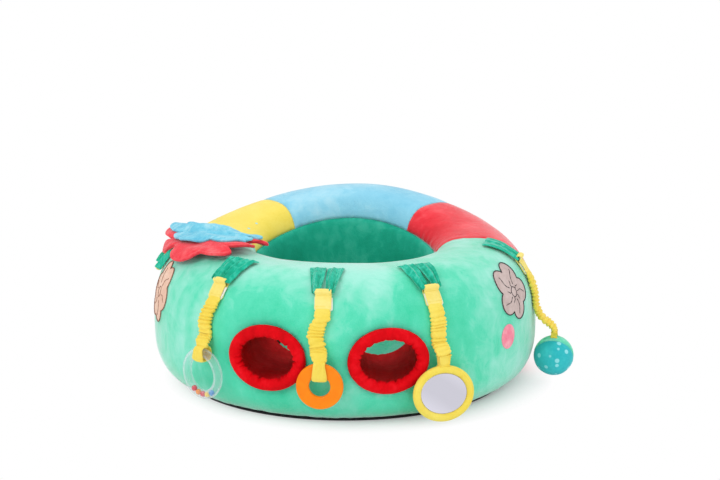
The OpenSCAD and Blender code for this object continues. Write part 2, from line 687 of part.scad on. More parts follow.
module mirror_rim() color(yellow) mirror_frame() {
  n = 40;
  path = oval(mirror_w - mirror_rim_d, mirror_h - mirror_rim_d, n);
  skin([for (i = [0:n - 1])
    let (a = i * 360 / n, nrm = unit2([cos(a) * mirror_h, sin(a) * mirror_w]))
    [for (k = [0:7]) let (e = k * 45) [path[i][0] + mirror_rim_d / 2 * cos(e) * nrm[0],
      path[i][1] + mirror_rim_d / 2 * cos(e) * nrm[1], mirror_rim_d / 2 * sin(e)]]],
    closed = true, flip = true);
}
sheet_w = mirror_w - 2 * mirror_rim_d - 0.4;
sheet_h = mirror_h - 2 * mirror_rim_d - 0.4;
module mirror_sheet() color([0.8, 0.83, 0.85]) mirror_frame()
  translate([0, 0, -mirror_t / 2]) linear_extrude(mirror_t) polygon(oval(sheet_w, sheet_h, 48));
module mirror_backing() color(yellow) mirror_frame()
  translate([0, 0, -mirror_t / 2 - 0.05 - backing_t])
    linear_extrude(backing_t) polygon(oval(sheet_w, sheet_h, 48));
// height of the oval's top edge over the mirror's middle, where the strap meets it
mirror_top = sqrt(pow(mirror_h / 2 * cos(mirror_turn), 2) + pow(mirror_w / 2 * sin(mirror_turn), 2));
module tongue(place, r, low, high, w) color(yellow) radial_plate(place[0], w)
  translate([r - strap_t / 2 + 1, low]) square([strap_t - 2, high - low]);
module mirror_strap_end()
  tongue(mirror_at, toy_r, mirror_z + mirror_top + 0.2, strap_end_z - 0.1, link_w);

ball_top = ball_z + ball_r;
ball_end = [for (p = [[-0.77, 1.19], [-0.56, 0.91], [-0.35, 0.74], [-0.14, 0.56], [0, 0.39], [0, 0.25]])
  [ball_path_r, ball_top] + p * ball_r];
module ball_frame() radial_frame(ball_at[0], [ball_path_r, ball_z])
  rotate([0, 0, ball_seam_turn]) children();
module ball_half(s) ball_frame() difference() {
  sphere(r = ball_r);
  translate([s > 0 ? -2 * ball_r : -0.1, -2 * ball_r, -2 * ball_r])
    cube([2 * ball_r + 0.1, 4 * ball_r, 4 * ball_r]);
  sphere(r = capsule_r + 0.3);
}
module ball_half_blue() color([0.1, 0.7, 0.75]) ball_half(-1);
module ball_half_green() color(mint) ball_half(1);
module ball_capsule() color("white") ball_frame() sphere(r = capsule_r);
module ball_strap_end()
  tongue(ball_at, ball_path_r, ball_top + 0.2, ball_end[5][1] - 0.3, link_w);

// ---- leaf toy, flipped up over the ring ---------------------------------------------
// u runs along the leaf from its tab, and v across it from -1 to 1
function leaf_half(u, seed) = (0.35 + 0.65 * pow(sin(180 * min(1, 0.08 + 0.9 * u)), 0.6))
  * (1 + 0.12 * cos(720 * u + seed));
module leaf(a0, a1, t0, t1, half_t, e, seed) {
  nu = 16;
  nv = 7;
  place_of = function (u, v) [a0 + (a1 - a0) * u + 3 * v, t0 + (t1 - t0) * u
    + v * half_t * leaf_half(u, seed)];
  skin([for (u = steps(0, 1, nu)) concat(
    [for (v = steps(-1, 1, nv)) let (p = place_of(u, v))
      at(p[0], off(p[1], e, front_h + rise(p[0])))],
    [for (v = steps(1, -1, nv)) let (p = place_of(u, v))
      at(p[0], off(p[1], e + leaf_t, front_h + rise(p[0])))])], strip = true);
}
module leaf_red() color(red) leaf(-95, -42, 66, 98, 27, leaf_lift, 0);
module leaf_blue() color(pale_blue)
  leaf(-93, -52, 74, 100, 22, leaf_lift + leaf_t + leaf_gap, 120);
module leaf_tab() color(yellow) difference() {
  union() {
    strip(leaf_at, tab_w, steps(leaf_at[1], 80, 6), tab_in, leaf_lift - 1);
    radial_plate(leaf_at[0], tab_w) translate(bar_rz(leaf_at))
      circle(d = bar_d + 2 * tab_gap + 2 * tab_t);
  }
  radial_plate(leaf_at[0], tab_w + 2) translate(bar_rz(leaf_at)) circle(d = bar_d + 2 * tab_gap);
}

// ---- sewn patches on the front panel ------------------------------------------------
patch_gap = 0.5;
// A round or lobed outline laid on the ring, at angle a and height z
module patch(a, z, w, h, lobes, depth) {
  n = 32;
  lay = function (x, y, e) let (zz = z + y, t = t_outside(zz))
    at(a + x / r_outside(zz) * 180 / PI, off(t, e));
  edge = function (i) let (q = i * 360 / n) (1 + depth * cos(lobes * q)) / (1 + depth)
    * [w / 2 * cos(q), h / 2 * sin(q)];
  ring = function (k, e) [for (i = [0:n - 1]) let (p = k * edge(i)) lay(p[0], p[1], e)];
  shares = [0.02, 0.26, 0.51, 0.76, 1];
  skin(concat([for (k = shares) ring(k, patch_gap)],
              [for (k = reversed(shares)) ring(k, patch_gap + patch_t)]));
}
module patch_dot() color("hotpink") patch(59, dot_z, dot_d, dot_d, 1, 0);
module patch_peach() color([0.93, 0.76, 0.68]) patch(-70, peach_z, peach_w, peach_h, 8, 0.09);
module patch_taupe() color([0.8, 0.72, 0.72]) patch(66, taupe_z, taupe_w, taupe_h, 5, 0.14);

cover_front();
cover_back_red();
cover_back_blue();
cover_back_yellow();
well_wall_front();
well_wall_back();
base_panel();
seat_pad();
back_bolster();
inflated_front();
inflated_back();
valve_body();
valve_plug();
leg_lining(-1);  // leg_lining_left
leg_lining(1);  // leg_lining_right
leg_rim(-1);  // leg_rim_left
leg_rim(1);  // leg_rim_right
zip_tape();
zip_teeth();
zip_slider();
zip_pull();
cloth_loop(leaf_at, bar_l, loop_leg_w / 2);  // loop_leaf
cloth_loop(rattle_at);  // loop_rattle
cloth_loop(teether_at);  // loop_teether
cloth_loop(mirror_at);  // loop_mirror
cloth_loop(ball_at);  // loop_ball
fold_tab(rattle_at);  // rattle_tab
hook_tape(rattle_at);  // rattle_hook_tape
gathered_strap(rattle_at, front_end);  // rattle_strap
rattle_strap_end();
rattle_ring();
rattle_beads();
fold_tab(teether_at);  // teether_tab
hook_tape(teether_at);  // teether_hook_tape
gathered_strap(teether_at, front_end);  // teether_strap
teether_strap_end();
teether_ring();
fold_tab(mirror_at);  // mirror_tab
hook_tape(mirror_at);  // mirror_hook_tape
gathered_strap(mirror_at, front_end);  // mirror_strap
mirror_strap_end();
mirror_rim();
mirror_sheet();
mirror_backing();
fold_tab(ball_at);  // ball_tab
hook_tape(ball_at);  // ball_hook_tape
gathered_strap(ball_at, ball_end);  // ball_strap
ball_strap_end();
ball_half_blue();
ball_half_green();
ball_capsule();
leaf_tab();
leaf_red();
leaf_blue();
patch_dot();
patch_peach();
patch_taupe();
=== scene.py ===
import math
import random
import bpy
import bmesh
from mathutils import Matrix, Vector, noise


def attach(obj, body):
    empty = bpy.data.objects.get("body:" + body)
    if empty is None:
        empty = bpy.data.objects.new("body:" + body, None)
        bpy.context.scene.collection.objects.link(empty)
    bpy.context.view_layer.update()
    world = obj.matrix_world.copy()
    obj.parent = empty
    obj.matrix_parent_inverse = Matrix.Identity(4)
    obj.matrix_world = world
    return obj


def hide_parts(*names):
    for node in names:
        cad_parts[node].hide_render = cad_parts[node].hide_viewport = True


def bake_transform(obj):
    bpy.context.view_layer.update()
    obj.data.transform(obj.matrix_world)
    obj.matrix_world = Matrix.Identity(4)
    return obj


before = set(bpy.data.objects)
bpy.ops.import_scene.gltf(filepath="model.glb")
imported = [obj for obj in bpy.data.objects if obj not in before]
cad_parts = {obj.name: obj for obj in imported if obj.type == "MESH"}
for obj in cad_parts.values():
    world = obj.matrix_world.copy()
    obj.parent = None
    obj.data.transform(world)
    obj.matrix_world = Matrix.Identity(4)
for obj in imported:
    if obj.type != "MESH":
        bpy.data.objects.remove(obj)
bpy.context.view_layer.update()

RES = 1.0  # how fine the cloth's grids are
rad, sin, cos, TAU = math.radians, math.sin, math.cos, math.tau


def clamp(x, lo=0.0, hi=1.0):
    return max(lo, min(hi, x))


def lerp(a, b, k):
    return a + (b - a) * k


def smooth(k):
    k = clamp(k)
    return k * k * (3 - 2 * k)


def bell(x, w):
    return math.exp(-(x / w) ** 2)


def n3(p, scale, seed=0.0):
    """Smooth noise from -1 to 1 at a point in metres, with features 1 / scale metres wide."""
    return noise.noise(Vector((p[0] * scale + seed, p[1] * scale - seed * 1.7, p[2] * scale + seed * 0.6)))


# ---- the ring's section, as in the CAD, in metres ----------------------------------------
RING_R, RIDGE_R, WELL_R, FRONT_H, RISE = 0.275, 0.190, 0.118, 0.200, 0.035
BELLY, WELL_BELLY = 0.080, 0.100
SIDE_SEAM, BACK_SEAM, T_SEAM = 92, 140, 143.76
T_FOOT, T_WELL_FOOT = -67.0, 249.42


def spow(x, p):
    return math.copysign(abs(x) ** p, x)


def rise(a):
    return RISE * max(0.0, -cos(rad(a))) ** 2.2


def sec(t, h=FRONT_H, d=0.0):
    """(radius, height) on the section: t is 0 at the belly, 90 at the ridge, 180 in the well."""
    c, s = cos(rad(t)), sin(rad(t))
    out = c >= 0
    p = 3 if s < 0 else (2.4 if out else 3.2)
    zb = BELLY if out else WELL_BELLY
    half = (RING_R - RIDGE_R if out else RIDGE_R - WELL_R) - d
    up = (h - d - zb) if s >= 0 else (zb - d)
    return RIDGE_R + half * spow(c, 2 / p), zb + up * spow(s, 2 / p)


def off(t, e, h=FRONT_H):
    (r0, z0), (r1, z1), (r, z) = sec(t - 0.6, h), sec(t + 0.6, h), sec(t, h)
    g = math.hypot(r1 - r0, z1 - z0) or 1
    return r + e * (z1 - z0) / g, z - e * (r1 - r0) / g


def at(a, r, z):
    return Vector((r * sin(rad(a)), -r * cos(rad(a)), z))


def on_ring(a, t, e=0.0):
    return at(a, *off(t, e, FRONT_H + rise(a)))


def t_at(z, belly, p):
    """t, measured from the belly, at which the section passes that height."""
    if z >= belly:
        return math.degrees(math.asin(clamp((z - belly) / (FRONT_H - belly)) ** p))
    return -math.degrees(math.asin(clamp((belly - z) / belly) ** 1.5))


def t_outside(z):
    return t_at(z, BELLY, 1.2)


def t_inside(z):
    return 180 - t_at(z, WELL_BELLY, 1.6)


def spaced(run, n):
    """(index, share of the step after it) at n + 1 even steps of a line; run is its length so far."""
    found, j = [], 0
    for i in range(n + 1):
        want = run[-1] * i / n
        while j < len(run) - 2 and run[j + 1] < want:
            j += 1
        found.append((j, clamp((want - run[j]) / max(1e-9, run[j + 1] - run[j]))))
    return found


def even(t0, t1, n, count=400):
    """n + 1 values of t that are evenly spaced along the section, and its length."""
    ts = [lerp(t0, t1, i / count) for i in range(count + 1)]
    run = [0.0]
    for i in range(count):
        (a, b), (c, d) = sec(ts[i]), sec(ts[i + 1])
        run.append(run[-1] + math.hypot(c - a, d - b))
    return [lerp(ts[j], ts[j + 1], k) for j, k in spaced(run, n)], run[-1]


# ---- materials ----------------------------------------------------------------------------
def srgb(r, g, b):
    return tuple(x / 12.92 if x <= 0.04045 else ((x + 0.055) / 1.055) ** 2.4
                 for x in (r / 255, g / 255, b / 255)) + (1.0,)


class Wire:
    """A shader value that Python arithmetic can use."""

    def __init__(self, kit, socket):
        self.kit, self.socket = kit, socket

    def op(self, operation, *others):
        return self.kit.node("Math", {"operation": operation}, dict(enumerate((self,) + others)))

    def __add__(self, o):
        return self.op("ADD", o)

    def __sub__(self, o):
        return self.op("SUBTRACT", o)

    def __rsub__(self, o):
        return self.op("MULTIPLY", -1.0) + o

    def __mul__(self, o):
        return self.op("MULTIPLY", o)

    def __pow__(self, o):
        return self.op("POWER", o)

    __radd__, __rmul__ = __add__, __mul__

    def span(self, a, b, lo=0.0, hi=1.0):
        return self.kit.node("MapRange", {"clamp": True}, {"Value": self, "From Min": a, "From Max": b,
                                                           "To Min": lo, "To Max": hi})


class Kit:
    """One material; node() makes every node but the arithmetic."""

    def __init__(self, name):
        self.mat = bpy.data.materials.new(name)
        self.mat.use_nodes = True
        self.tree = self.mat.node_tree
        self.tree.nodes.clear()
        self.out = self.tree.nodes.new("ShaderNodeOutputMaterial")
        self.bsdf = self.tree.nodes.new("ShaderNodeBsdfPrincipled")
        self.tree.links.new(self.bsdf.outputs[0], self.out.inputs[0])

    def node(self, kind, settings=None, values=None, out=0):
        node = self.tree.nodes.new("ShaderNode" + kind)
        for k, v in (settings or {}).items():
            setattr(node, k, v)
        for k, v in (values or {}).items():
            self.feed(node.inputs[k], v)
        return Wire(self, node.outputs[out])

    def feed(self, socket, x):
        if isinstance(x, Wire):
            self.tree.links.new(x.socket, socket)
        else:
            socket.default_value = x

    def coords(self, scale=(1, 1, 1), turn=(0, 0, 0)):
        where = self.node("TexCoord", out="Object")
        return self.node("Mapping", values={"Vector": where, "Scale": scale, "Rotation": turn})

    def noise(self, where, scale, detail=2.0, rough=0.5, warp=0.0):
        return self.node("TexNoise", values={"Vector": where, "Scale": scale, "Detail": detail,
                                             "Roughness": rough, "Distortion": warp})

    def cells(self, where, scale, random=1.0):
        return self.node("TexVoronoi", {"feature": "F1"}, {"Vector": where, "Scale": scale, "Randomness": random},
                         "Distance")

    def waves(self, where, scale, axis="X", warp=0.0):
        return self.node("TexWave", {"bands_direction": axis}, {"Vector": where, "Scale": scale, "Distortion": warp},
                         "Fac")

    def mix(self, k, a, b):
        return self.node("Mix", {"data_type": "RGBA"}, {0: k, 6: a, 7: b}, 2)

    def facing(self, blend=0.5):
        return self.node("LayerWeight", values={"Blend": blend}, out="Facing")

    def set(self, **values):
        for k, v in values.items():
            self.feed(self.bsdf.inputs[k.replace("_", " ")], v)

    def bump(self, *layers):
        """Layers are (height, strength, distance in metres), finest last."""
        last = None
        for height, strength, distance in layers:
            values = {"Height": height, "Strength": strength, "Distance": distance}
            if last:
                values["Normal"] = last
            last = self.node("Bump", values=values)
        self.feed(self.bsdf.inputs["Normal"], last)


def velour(name, deep, mid, pale, cloud, mottle, sheen, seed=(0, 0, 0), brushed=0.17, gloss=0.12, fuzz=0.3,
           painted_sheen=0.0):
    """Short pile: clouds where the nap lies over, brushed streaks and fine tufts."""
    deep, mid, pale = srgb(*deep), srgb(*mid), srgb(*pale)
    k = Kit(name)
    w = k.coords(turn=seed)
    broad = k.noise(w, cloud, 3.0, 0.55, 0.4)
    small = k.noise(w, cloud * 4.2, 4.0, 0.6, 0.7)
    streak = k.noise(k.coords(scale=(1, 1, 0.28), turn=seed), cloud * 7, 3.0, 0.55, 0.3)
    tuft = k.noise(w, 900, 2.0, 0.7)
    nap = (broad * (0.73 - brushed) + small * 0.27 + streak * brushed).span(0.5 - 0.16 / mottle, 0.5 + 0.17 / mottle)
    if painted_sheen:
        # painted sheen: the pile is painted paler along the ridge, where the light from above falls, and at the
        # sides, where it is seen edge on
        x, z = (k.node("SeparateXYZ", values={"Vector": w}, out=axis) for axis in "XZ")
        nap = nap + z.span(0.168, 0.200, -0.08, painted_sheen) + x.op("ABSOLUTE").span(0.19, 0.27, 0.0, painted_sheen)
    tone = k.mix(nap.span(0.0, 0.55), deep, mid)
    tone = k.mix(nap.span(0.5, 1.0), tone, pale)
    tone = k.mix(tuft.span(0.42, 0.75, 0.0, 0.2), tone, pale)
    k.set(Base_Color=tone, Roughness=nap.span(0, 1, 0.78, 0.62), Sheen_Weight=sheen, Sheen_Roughness=fuzz)
    k.set(Sheen_Tint=(1, 1, 1, 1), Specular_IOR_Level=gloss)
    k.bump((small, 0.25, 0.004), (k.noise(w, 230, 3.0, 0.6), 0.3, 0.0012), (tuft, 0.55, 0.0007))
    return k.mat


def weave(name, deep, mid, pitch, sheen, dots=None, dot_gap=0.022, gloss=0.75, dot_r=0.0022):
    """Plain woven cloth: threads both ways, slight shade changes, and printed dots if asked."""
    deep, mid = srgb(*deep), srgb(*mid)
    k = Kit(name)
    w = k.coords()
    shade = k.noise(w, 24, 3.0, 0.6, 0.3)
    slub = k.noise(w, 260, 2.0, 0.6)
    tone = k.mix((shade * 0.7 + slub * 0.3).span(0.35, 0.68), deep, mid)
    if dots:
        spot = k.cells(w, 1 / dot_gap, 0.75)
        edge = dot_r / dot_gap
        tone = k.mix(spot.span(edge * 0.85, edge * 1.1, 1.0, 0.0), tone, srgb(*dots))
    thread = 1 / pitch / 3.2
    skew = k.coords(turn=(0.3, 0.2, 0.5))
    k.set(Base_Color=tone, Roughness=slub.span(0.3, 0.7, gloss, gloss + 0.12), Sheen_Weight=sheen)
    k.set(Sheen_Roughness=0.35, Specular_IOR_Level=0.25)
    k.bump((slub, 0.25, 0.0008), (k.waves(skew, thread, "X", 0.6) * k.waves(skew, thread, "Z", 0.6), 0.4, 0.00035))
    return k.mat


def plastic(name, tone, dark, rough, coat=0.0):
    """Moulded plastic: faint flow marks and fine scuffs."""
    tone, dark = srgb(*tone), srgb(*dark)
    k = Kit(name)
    w = k.coords()
    flow = k.noise(w, 45, 3.0, 0.5, 1.2)
    scuff = k.noise(w, 900, 4.0, 0.75)
    k.set(Base_Color=k.mix(flow.span(0.3, 0.7), dark, tone), Coat_Weight=coat)
    k.set(Roughness=scuff.span(0.35, 0.75, rough, rough + 0.06), IOR=1.46, Specular_IOR_Level=0.2)
    k.bump((flow, 0.12, 0.0006), (scuff, 0.08, 0.0002))
    return k.mat


def clear_tube(name, tone):
    """Thin clear plastic: nearly invisible face on, glossy, and whiter at its edges, where a painted highlight makes
    it more opaque.
    """
    tone = srgb(*tone)
    k = Kit(name)
    w = k.coords()
    flow = k.noise(w, 60, 2.0, 0.5, 0.8)
    # painted highlight: the pale plastic turns more opaque where the tube is seen edge on
    rim = k.facing(0.4) ** 2.2
    k.set(Base_Color=k.mix(flow.span(0.3, 0.7), [c * 0.96 for c in tone[:3]] + [1], tone))
    k.set(Roughness=flow.span(0.3, 0.7, 0.04, 0.09), Alpha=rim.span(0.0, 0.6, 0.035, 0.66) + flow * 0.02)
    k.set(Coat_Weight=0.6, Specular_IOR_Level=0.7, IOR=1.49)
    k.bump((flow, 0.05, 0.0004))
    return k.mat


def metal(name, tone, rough, brushed, wave=0.0):
    """Metal or mirror film: slight tone changes, a brushed grain, and a wavy face if asked."""
    tone = srgb(*tone)
    k = Kit(name)
    grain = k.noise(k.coords(scale=(1, 1, 12)), 500, 3.0, 0.6)
    slow = k.waves(k.coords(turn=(0.0, 0.8, 0.0)), 3.4, "X", 1.5)
    k.set(Base_Color=k.mix(slow.span(0.1, 0.9), tone, [c * 0.80 for c in tone[:3]] + [1]))
    k.set(Metallic=1.0, Roughness=grain.span(0.3, 0.7, rough, rough + brushed))
    k.bump((slow, wave, 0.02), (grain, 0.05 + brushed, 0.0001))
    return k.mat


MATS = {
    # the mint cover gets a painted sheen, paler along its ridge and at its sides
    "mint": velour("mint_velour", (38, 208, 160), (82, 222, 183), (158, 236, 216), 8.0, 1.05, 1.0, gloss=0.35,
                   fuzz=0.35, painted_sheen=0.30),
    "pad": velour("pad_velour", (72, 210, 170), (106, 225, 190), (158, 234, 216), 12.0, 0.9, 0.6),
    "red": velour("red_velour", (220, 16, 36), (242, 36, 54), (252, 92, 100), 12.0, 0.9, 0.85, (1, 2, 0), gloss=0.25),
    "rim": velour("rim_velour", (196, 0, 10), (226, 0, 16), (246, 26, 40), 22.0, 0.9, 0.03, (2, 1, 0), gloss=0.08),
    "blue": velour("blue_velour", (116, 196, 226), (146, 214, 238), (184, 230, 245), 10.0, 0.9, 0.6, (0, 1, 1),
                   gloss=0.2),
    "green": velour("green_velour", (0, 146, 114), (6, 188, 154), (84, 216, 190), 24.0, 0.95, 0.6, (0, 2, 1),
                    0.5, 0.25),
    "wall": velour("wall_velour", (6, 150, 120), (26, 174, 144), (76, 200, 174), 12.0, 0.9, 0.3, (0, 2, 1)),
    "leaf_red": velour("leaf_red_velour", (228, 38, 58), (246, 66, 78), (253, 118, 122), 30.0, 1.0, 0.4),
    "leaf_blue": velour("leaf_blue_velour", (80, 186, 218), (124, 210, 233), (182, 231, 244), 34.0, 1.1, 0.4),
    "yellow": weave("yellow_print", (246, 221, 86), (253, 232, 112), 0.0006, 0.3, (176, 222, 220), 0.026, 0.75,
                    0.0026),
    "tape": weave("yellow_tape", (248, 224, 108), (255, 238, 144), 0.0005, 0.15),
    "strap": weave("yellow_elastic", (245, 216, 78), (254, 232, 108), 0.0005, 0.15),
    "rim_yellow": weave("mirror_cloth", (246, 219, 78), (254, 235, 110), 0.0006, 0.15),
    "hook": weave("hook_tape", (238, 236, 226), (250, 249, 244), 0.0008, 0.1),
    "base": weave("base_cloth", (20, 20, 22), (36, 36, 38), 0.0012, 0.05, (52, 52, 54), 0.007, 0.6, 0.0016),
    "zip": weave("zip_tape", (84, 160, 196), (112, 186, 214), 0.0007, 0.1),
    "fill": weave("bolster_cloth", (228, 228, 224), (244, 244, 240), 0.0007, 0.1),
    "ball_blue": weave("ball_dots", (36, 184, 194), (70, 208, 212), 0.0006, 0.25, (150, 230, 236), 0.0125, 0.75,
                       0.0034),
    "ball_green": velour("ball_velour", (70, 205, 165), (104, 224, 186), (158, 234, 212), 40.0, 1.0, 0.5),
    "pink": velour("pink_cloth", (246, 124, 150), (252, 148, 168), (254, 184, 194), 60.0, 1.2, 0.2),
    "peach": velour("peach_cloth", (226, 180, 156), (237, 196, 172), (246, 214, 194), 30.0, 0.9, 0.3),
    "taupe": velour("taupe_cloth", (186, 166, 162), (204, 183, 178), (222, 204, 200), 30.0, 0.9, 0.3),
    "brown_thread": weave("brown_thread", (130, 82, 66), (158, 104, 84), 0.0005, 0.05),
    "dark_thread": weave("dark_thread", (40, 32, 38), (62, 54, 58), 0.0005, 0.05),
    "mint_thread": weave("mint_thread", (86, 204, 168), (120, 222, 192), 0.0005, 0.1),
    "clear": clear_tube("clear_plastic", (236, 240, 250)),
    "beads": plastic("bead_plastic", (232, 40, 64), (214, 28, 50), 0.18, 0.6),
    "bead_orange": plastic("bead_orange", (252, 160, 20), (246, 142, 8), 0.18, 0.6),
    "bead_blue": plastic("bead_blue", (40, 150, 220), (28, 128, 200), 0.18, 0.6),
    "bead_yellow": plastic("bead_yellow", (252, 214, 60), (244, 196, 30), 0.18, 0.6),
    "orange": plastic("orange_plastic", (255, 142, 6), (252, 132, 0), 0.42, 0.1),
    "vinyl": plastic("vinyl_film", (222, 230, 234), (206, 216, 222), 0.28, 0.3),
    "white": plastic("white_plastic", (240, 240, 236), (228, 228, 222), 0.35),
    "nylon": plastic("zip_nylon", (120, 190, 216), (98, 170, 200), 0.4),
    "steel": metal("zip_metal", (200, 202, 206), 0.22, 0.2),
    "mirror": metal("mirror_face", (228, 226, 238), 0.05, 0.02, 0.25),
}


# ---- building pieces ------------------------------------------------------------------------
def linked(name, data):
    """A new object in the scene."""
    obj = bpy.data.objects.new(name, data)
    bpy.context.scene.collection.objects.link(obj)
    return obj


def finish(name, bm, mat, body="seat", replaces=None, orient=None):
    """A mesh object that rides on a body, if one is named; it may stand for a CAD node.

    orient gives, for a face's centre, the direction that its normal should agree with."""
    if orient:
        bmesh.ops.recalc_face_normals(bm, faces=bm.faces)
        score = sum(f.normal.dot(orient(f.calc_center_median())) * f.calc_area() for f in bm.faces)
        if score < 0:
            bmesh.ops.reverse_faces(bm, faces=bm.faces)
    me = bpy.data.meshes.new(name)
    bm.to_mesh(me)
    bm.free()
    obj = linked(name, me)
    for m in mat if isinstance(mat, tuple) else (mat,):
        me.materials.append(MATS[m])
    for p in me.polygons:
        p.use_smooth = True
    if body:
        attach(obj, body)
    if replaces:
        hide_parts(replaces)
    return obj


def grid(nu, nv, place, wrap_u=False, wrap_v=False):
    """A grid bent to place(u, v), with its ends welded where it closes on itself."""
    bm = bmesh.new()
    bmesh.ops.create_grid(bm, x_segments=nu, y_segments=nv, size=0.5)
    for v in bm.verts:
        v.co = place(v.co.x + 0.5, v.co.y + 0.5)
    if wrap_u or wrap_v:
        bmesh.ops.remove_doubles(bm, verts=bm.verts, dist=2e-6)
    return bm


def rounded(bm, edges, r):
    bmesh.ops.bevel(bm, geom=edges, offset=r, offset_type="OFFSET", affect="EDGES", segments=3, profile=0.5,
                    material=-1)


def outward(bm, cap=True):
    """Caps the open ends, unless the form is closed on itself, and turns the faces outwards."""
    if cap:
        bmesh.ops.holes_fill(bm, edges=[e for e in bm.edges if e.is_boundary], sides=0)
    bmesh.ops.recalc_face_normals(bm, faces=bm.faces)
    return bm


def thickened(obj, thick, offset=-1.0):
    """Gives the cloth its thickness, and returns the area of one face of it."""
    area = sum(p.area for p in obj.data.polygons)
    m = obj.modifiers.new("thickness", "SOLIDIFY")
    m.thickness, m.offset, m.use_rim = thick, offset, True
    return area


def subdivide(obj):
    m = obj.modifiers.new("smooth", "SUBSURF")
    m.levels = m.render_levels = 1


def tube(name, path, radius, sides, closed, mat, body):
    """A round tube on a path; radius is a function of (share along, angle)."""
    n = len(path)
    total = n if closed else n - 1
    ups, up = [], None
    for i in range(n):
        a = path[(i - 1) % n] if closed else path[max(0, i - 1)]
        b = path[(i + 1) % n] if closed else path[min(n - 1, i + 1)]
        d = (b - a).normalized()
        if up is None:
            up = d.orthogonal().normalized()
        up = (up - d * up.dot(d)).normalized()
        ups.append((d, up.copy()))

    def place(u, v):
        i = int(round(u * total)) % n if closed else int(round(u * total))
        d, up0 = ups[i]
        q = v * TAU
        side = d.cross(up0)
        return path[i] + (up0 * cos(q) + side * sin(q)) * radius(u, q)
    finish(name, outward(grid(total, sides, place, closed, True), not closed), mat, body)


def joined(*parts):
    """One bmesh out of several."""
    whole = bmesh.new()
    for bm in parts:
        me = bpy.data.meshes.new("part")
        bm.to_mesh(me)
        bm.free()
        whole.from_mesh(me)
        bpy.data.meshes.remove(me)
    return whole


# ---- leg openings ----------------------------------------------------------------------------
LEG_X, LEG_Y, LEG_Z, LEG_W, LEG_H, SPLAY, RIM_D = 0.080, 0.262, 0.094, 0.106, 0.087, 6, 0.015
RIM_SEAT, TUCK, CLOTH_T, SINK, SLEEVE_W = 0.005, 0.0022, 0.0022, 0.0003, 0.31
DEEPEST = -0.0021  # no seam dips further, down to the ring inside


def leg_axes(side):
    a = rad(side * SPLAY)
    return (Vector((side * LEG_X, -LEG_Y, LEG_Z)), Vector((cos(a), sin(a), 0)), Vector((0, 0, 1)),
            Vector((sin(a), -cos(a), 0)))


LEGS = {s: leg_axes(s) for s in (-1, 1)}


def leg_near(p):
    """(distance outside the nearer opening's outline, angle round it, its side, u, v) of a point."""
    best = (1.0, 0.0, 0, 0.0, 0.0)
    if p.y > -0.05:
        return best
    for side, (o, x, y, _) in LEGS.items():
        u, v = (p - o).dot(x), (p - o).dot(y)
        k = math.hypot(u / (LEG_W / 2), v / (LEG_H / 2))
        d = math.hypot(u, v) * (1 - 1 / max(k, 0.01))
        if d < best[0]:
            best = (d, math.atan2(v, u), side, u, v)
    return best


def reach(side, u, v, t_of=t_outside):
    """How far out along the tunnel the ring's surface is, at a place in the opening."""
    o, x, y, z = LEGS[side]
    base = o + x * u
    r = sec(t_of(LEG_Z + v))[0]
    b = base.x * z.x + base.y * z.y
    return base + y * v, -b + math.sqrt(b * b - (base.x ** 2 + base.y ** 2) + r * r)


def skin_height(a, t, p, front):
    """How far the skin stands off its even section: seams, puckers, wrinkles and slight swell."""
    r = max(0.05, math.hypot(p.x, p.y))
    e = 0.0012 * n3(p, 9, 3) + 0.0005 * n3(p, 24, 7)
    # long soft creases that run round the ring under its ridge
    e += 0.0009 * n3((a * 0.035, t * 0.055, 0.0), 1.0, 11) * bell(t - 62, 34)
    aa = abs((a + 180) % 360 - 180)
    for seam in (SIDE_SEAM, BACK_SEAM):
        if seam == BACK_SEAM and t > T_SEAM:
            continue
        d = abs(aa - seam) * math.pi / 180 * r
        if d < 0.05:
            pucker = 0.5 + 0.5 * n3((t * 0.0032, seam, a > 180), 75)
            e += -0.0011 * bell(d, 0.0036) - 0.0005 * bell(d, 0.016) + 0.0009 * (pucker - 0.5) * bell(d, 0.018)
    d = abs(t - T_SEAM) * 0.0016
    if d < 0.05:
        pucker = n3((a * 0.0042, 0.3, 0), 60)
        e += -0.0022 * bell(d, 0.0045) + 0.0012 * pucker * bell(d, 0.02)
    d = (t - T_FOOT) * 0.0015
    if t < 0 and d < 0.05:
        e += 0.0009 * n3((a * 0.0048, 1.3, 0), 70) * bell(d, 0.03)
    if front:
        d, q, side, _, _ = leg_near(p)
        if d < 0.08:
            fold = n3((cos(q) * 2.2 + side, sin(q) * 2.2, d * 20), 2.0, 4) \
                + 0.5 * n3((cos(q) * 6, sin(q) * 6 + side, d * 30), 2.2, 1)
            e += -0.0019 * bell(max(0, d + 0.001), 0.0055) + 0.0016 * bell(d - 0.02, 0.016)
            e += 0.0013 * fold * bell(max(0, d - 0.006), 0.02)
    return max(e, DEEPEST)


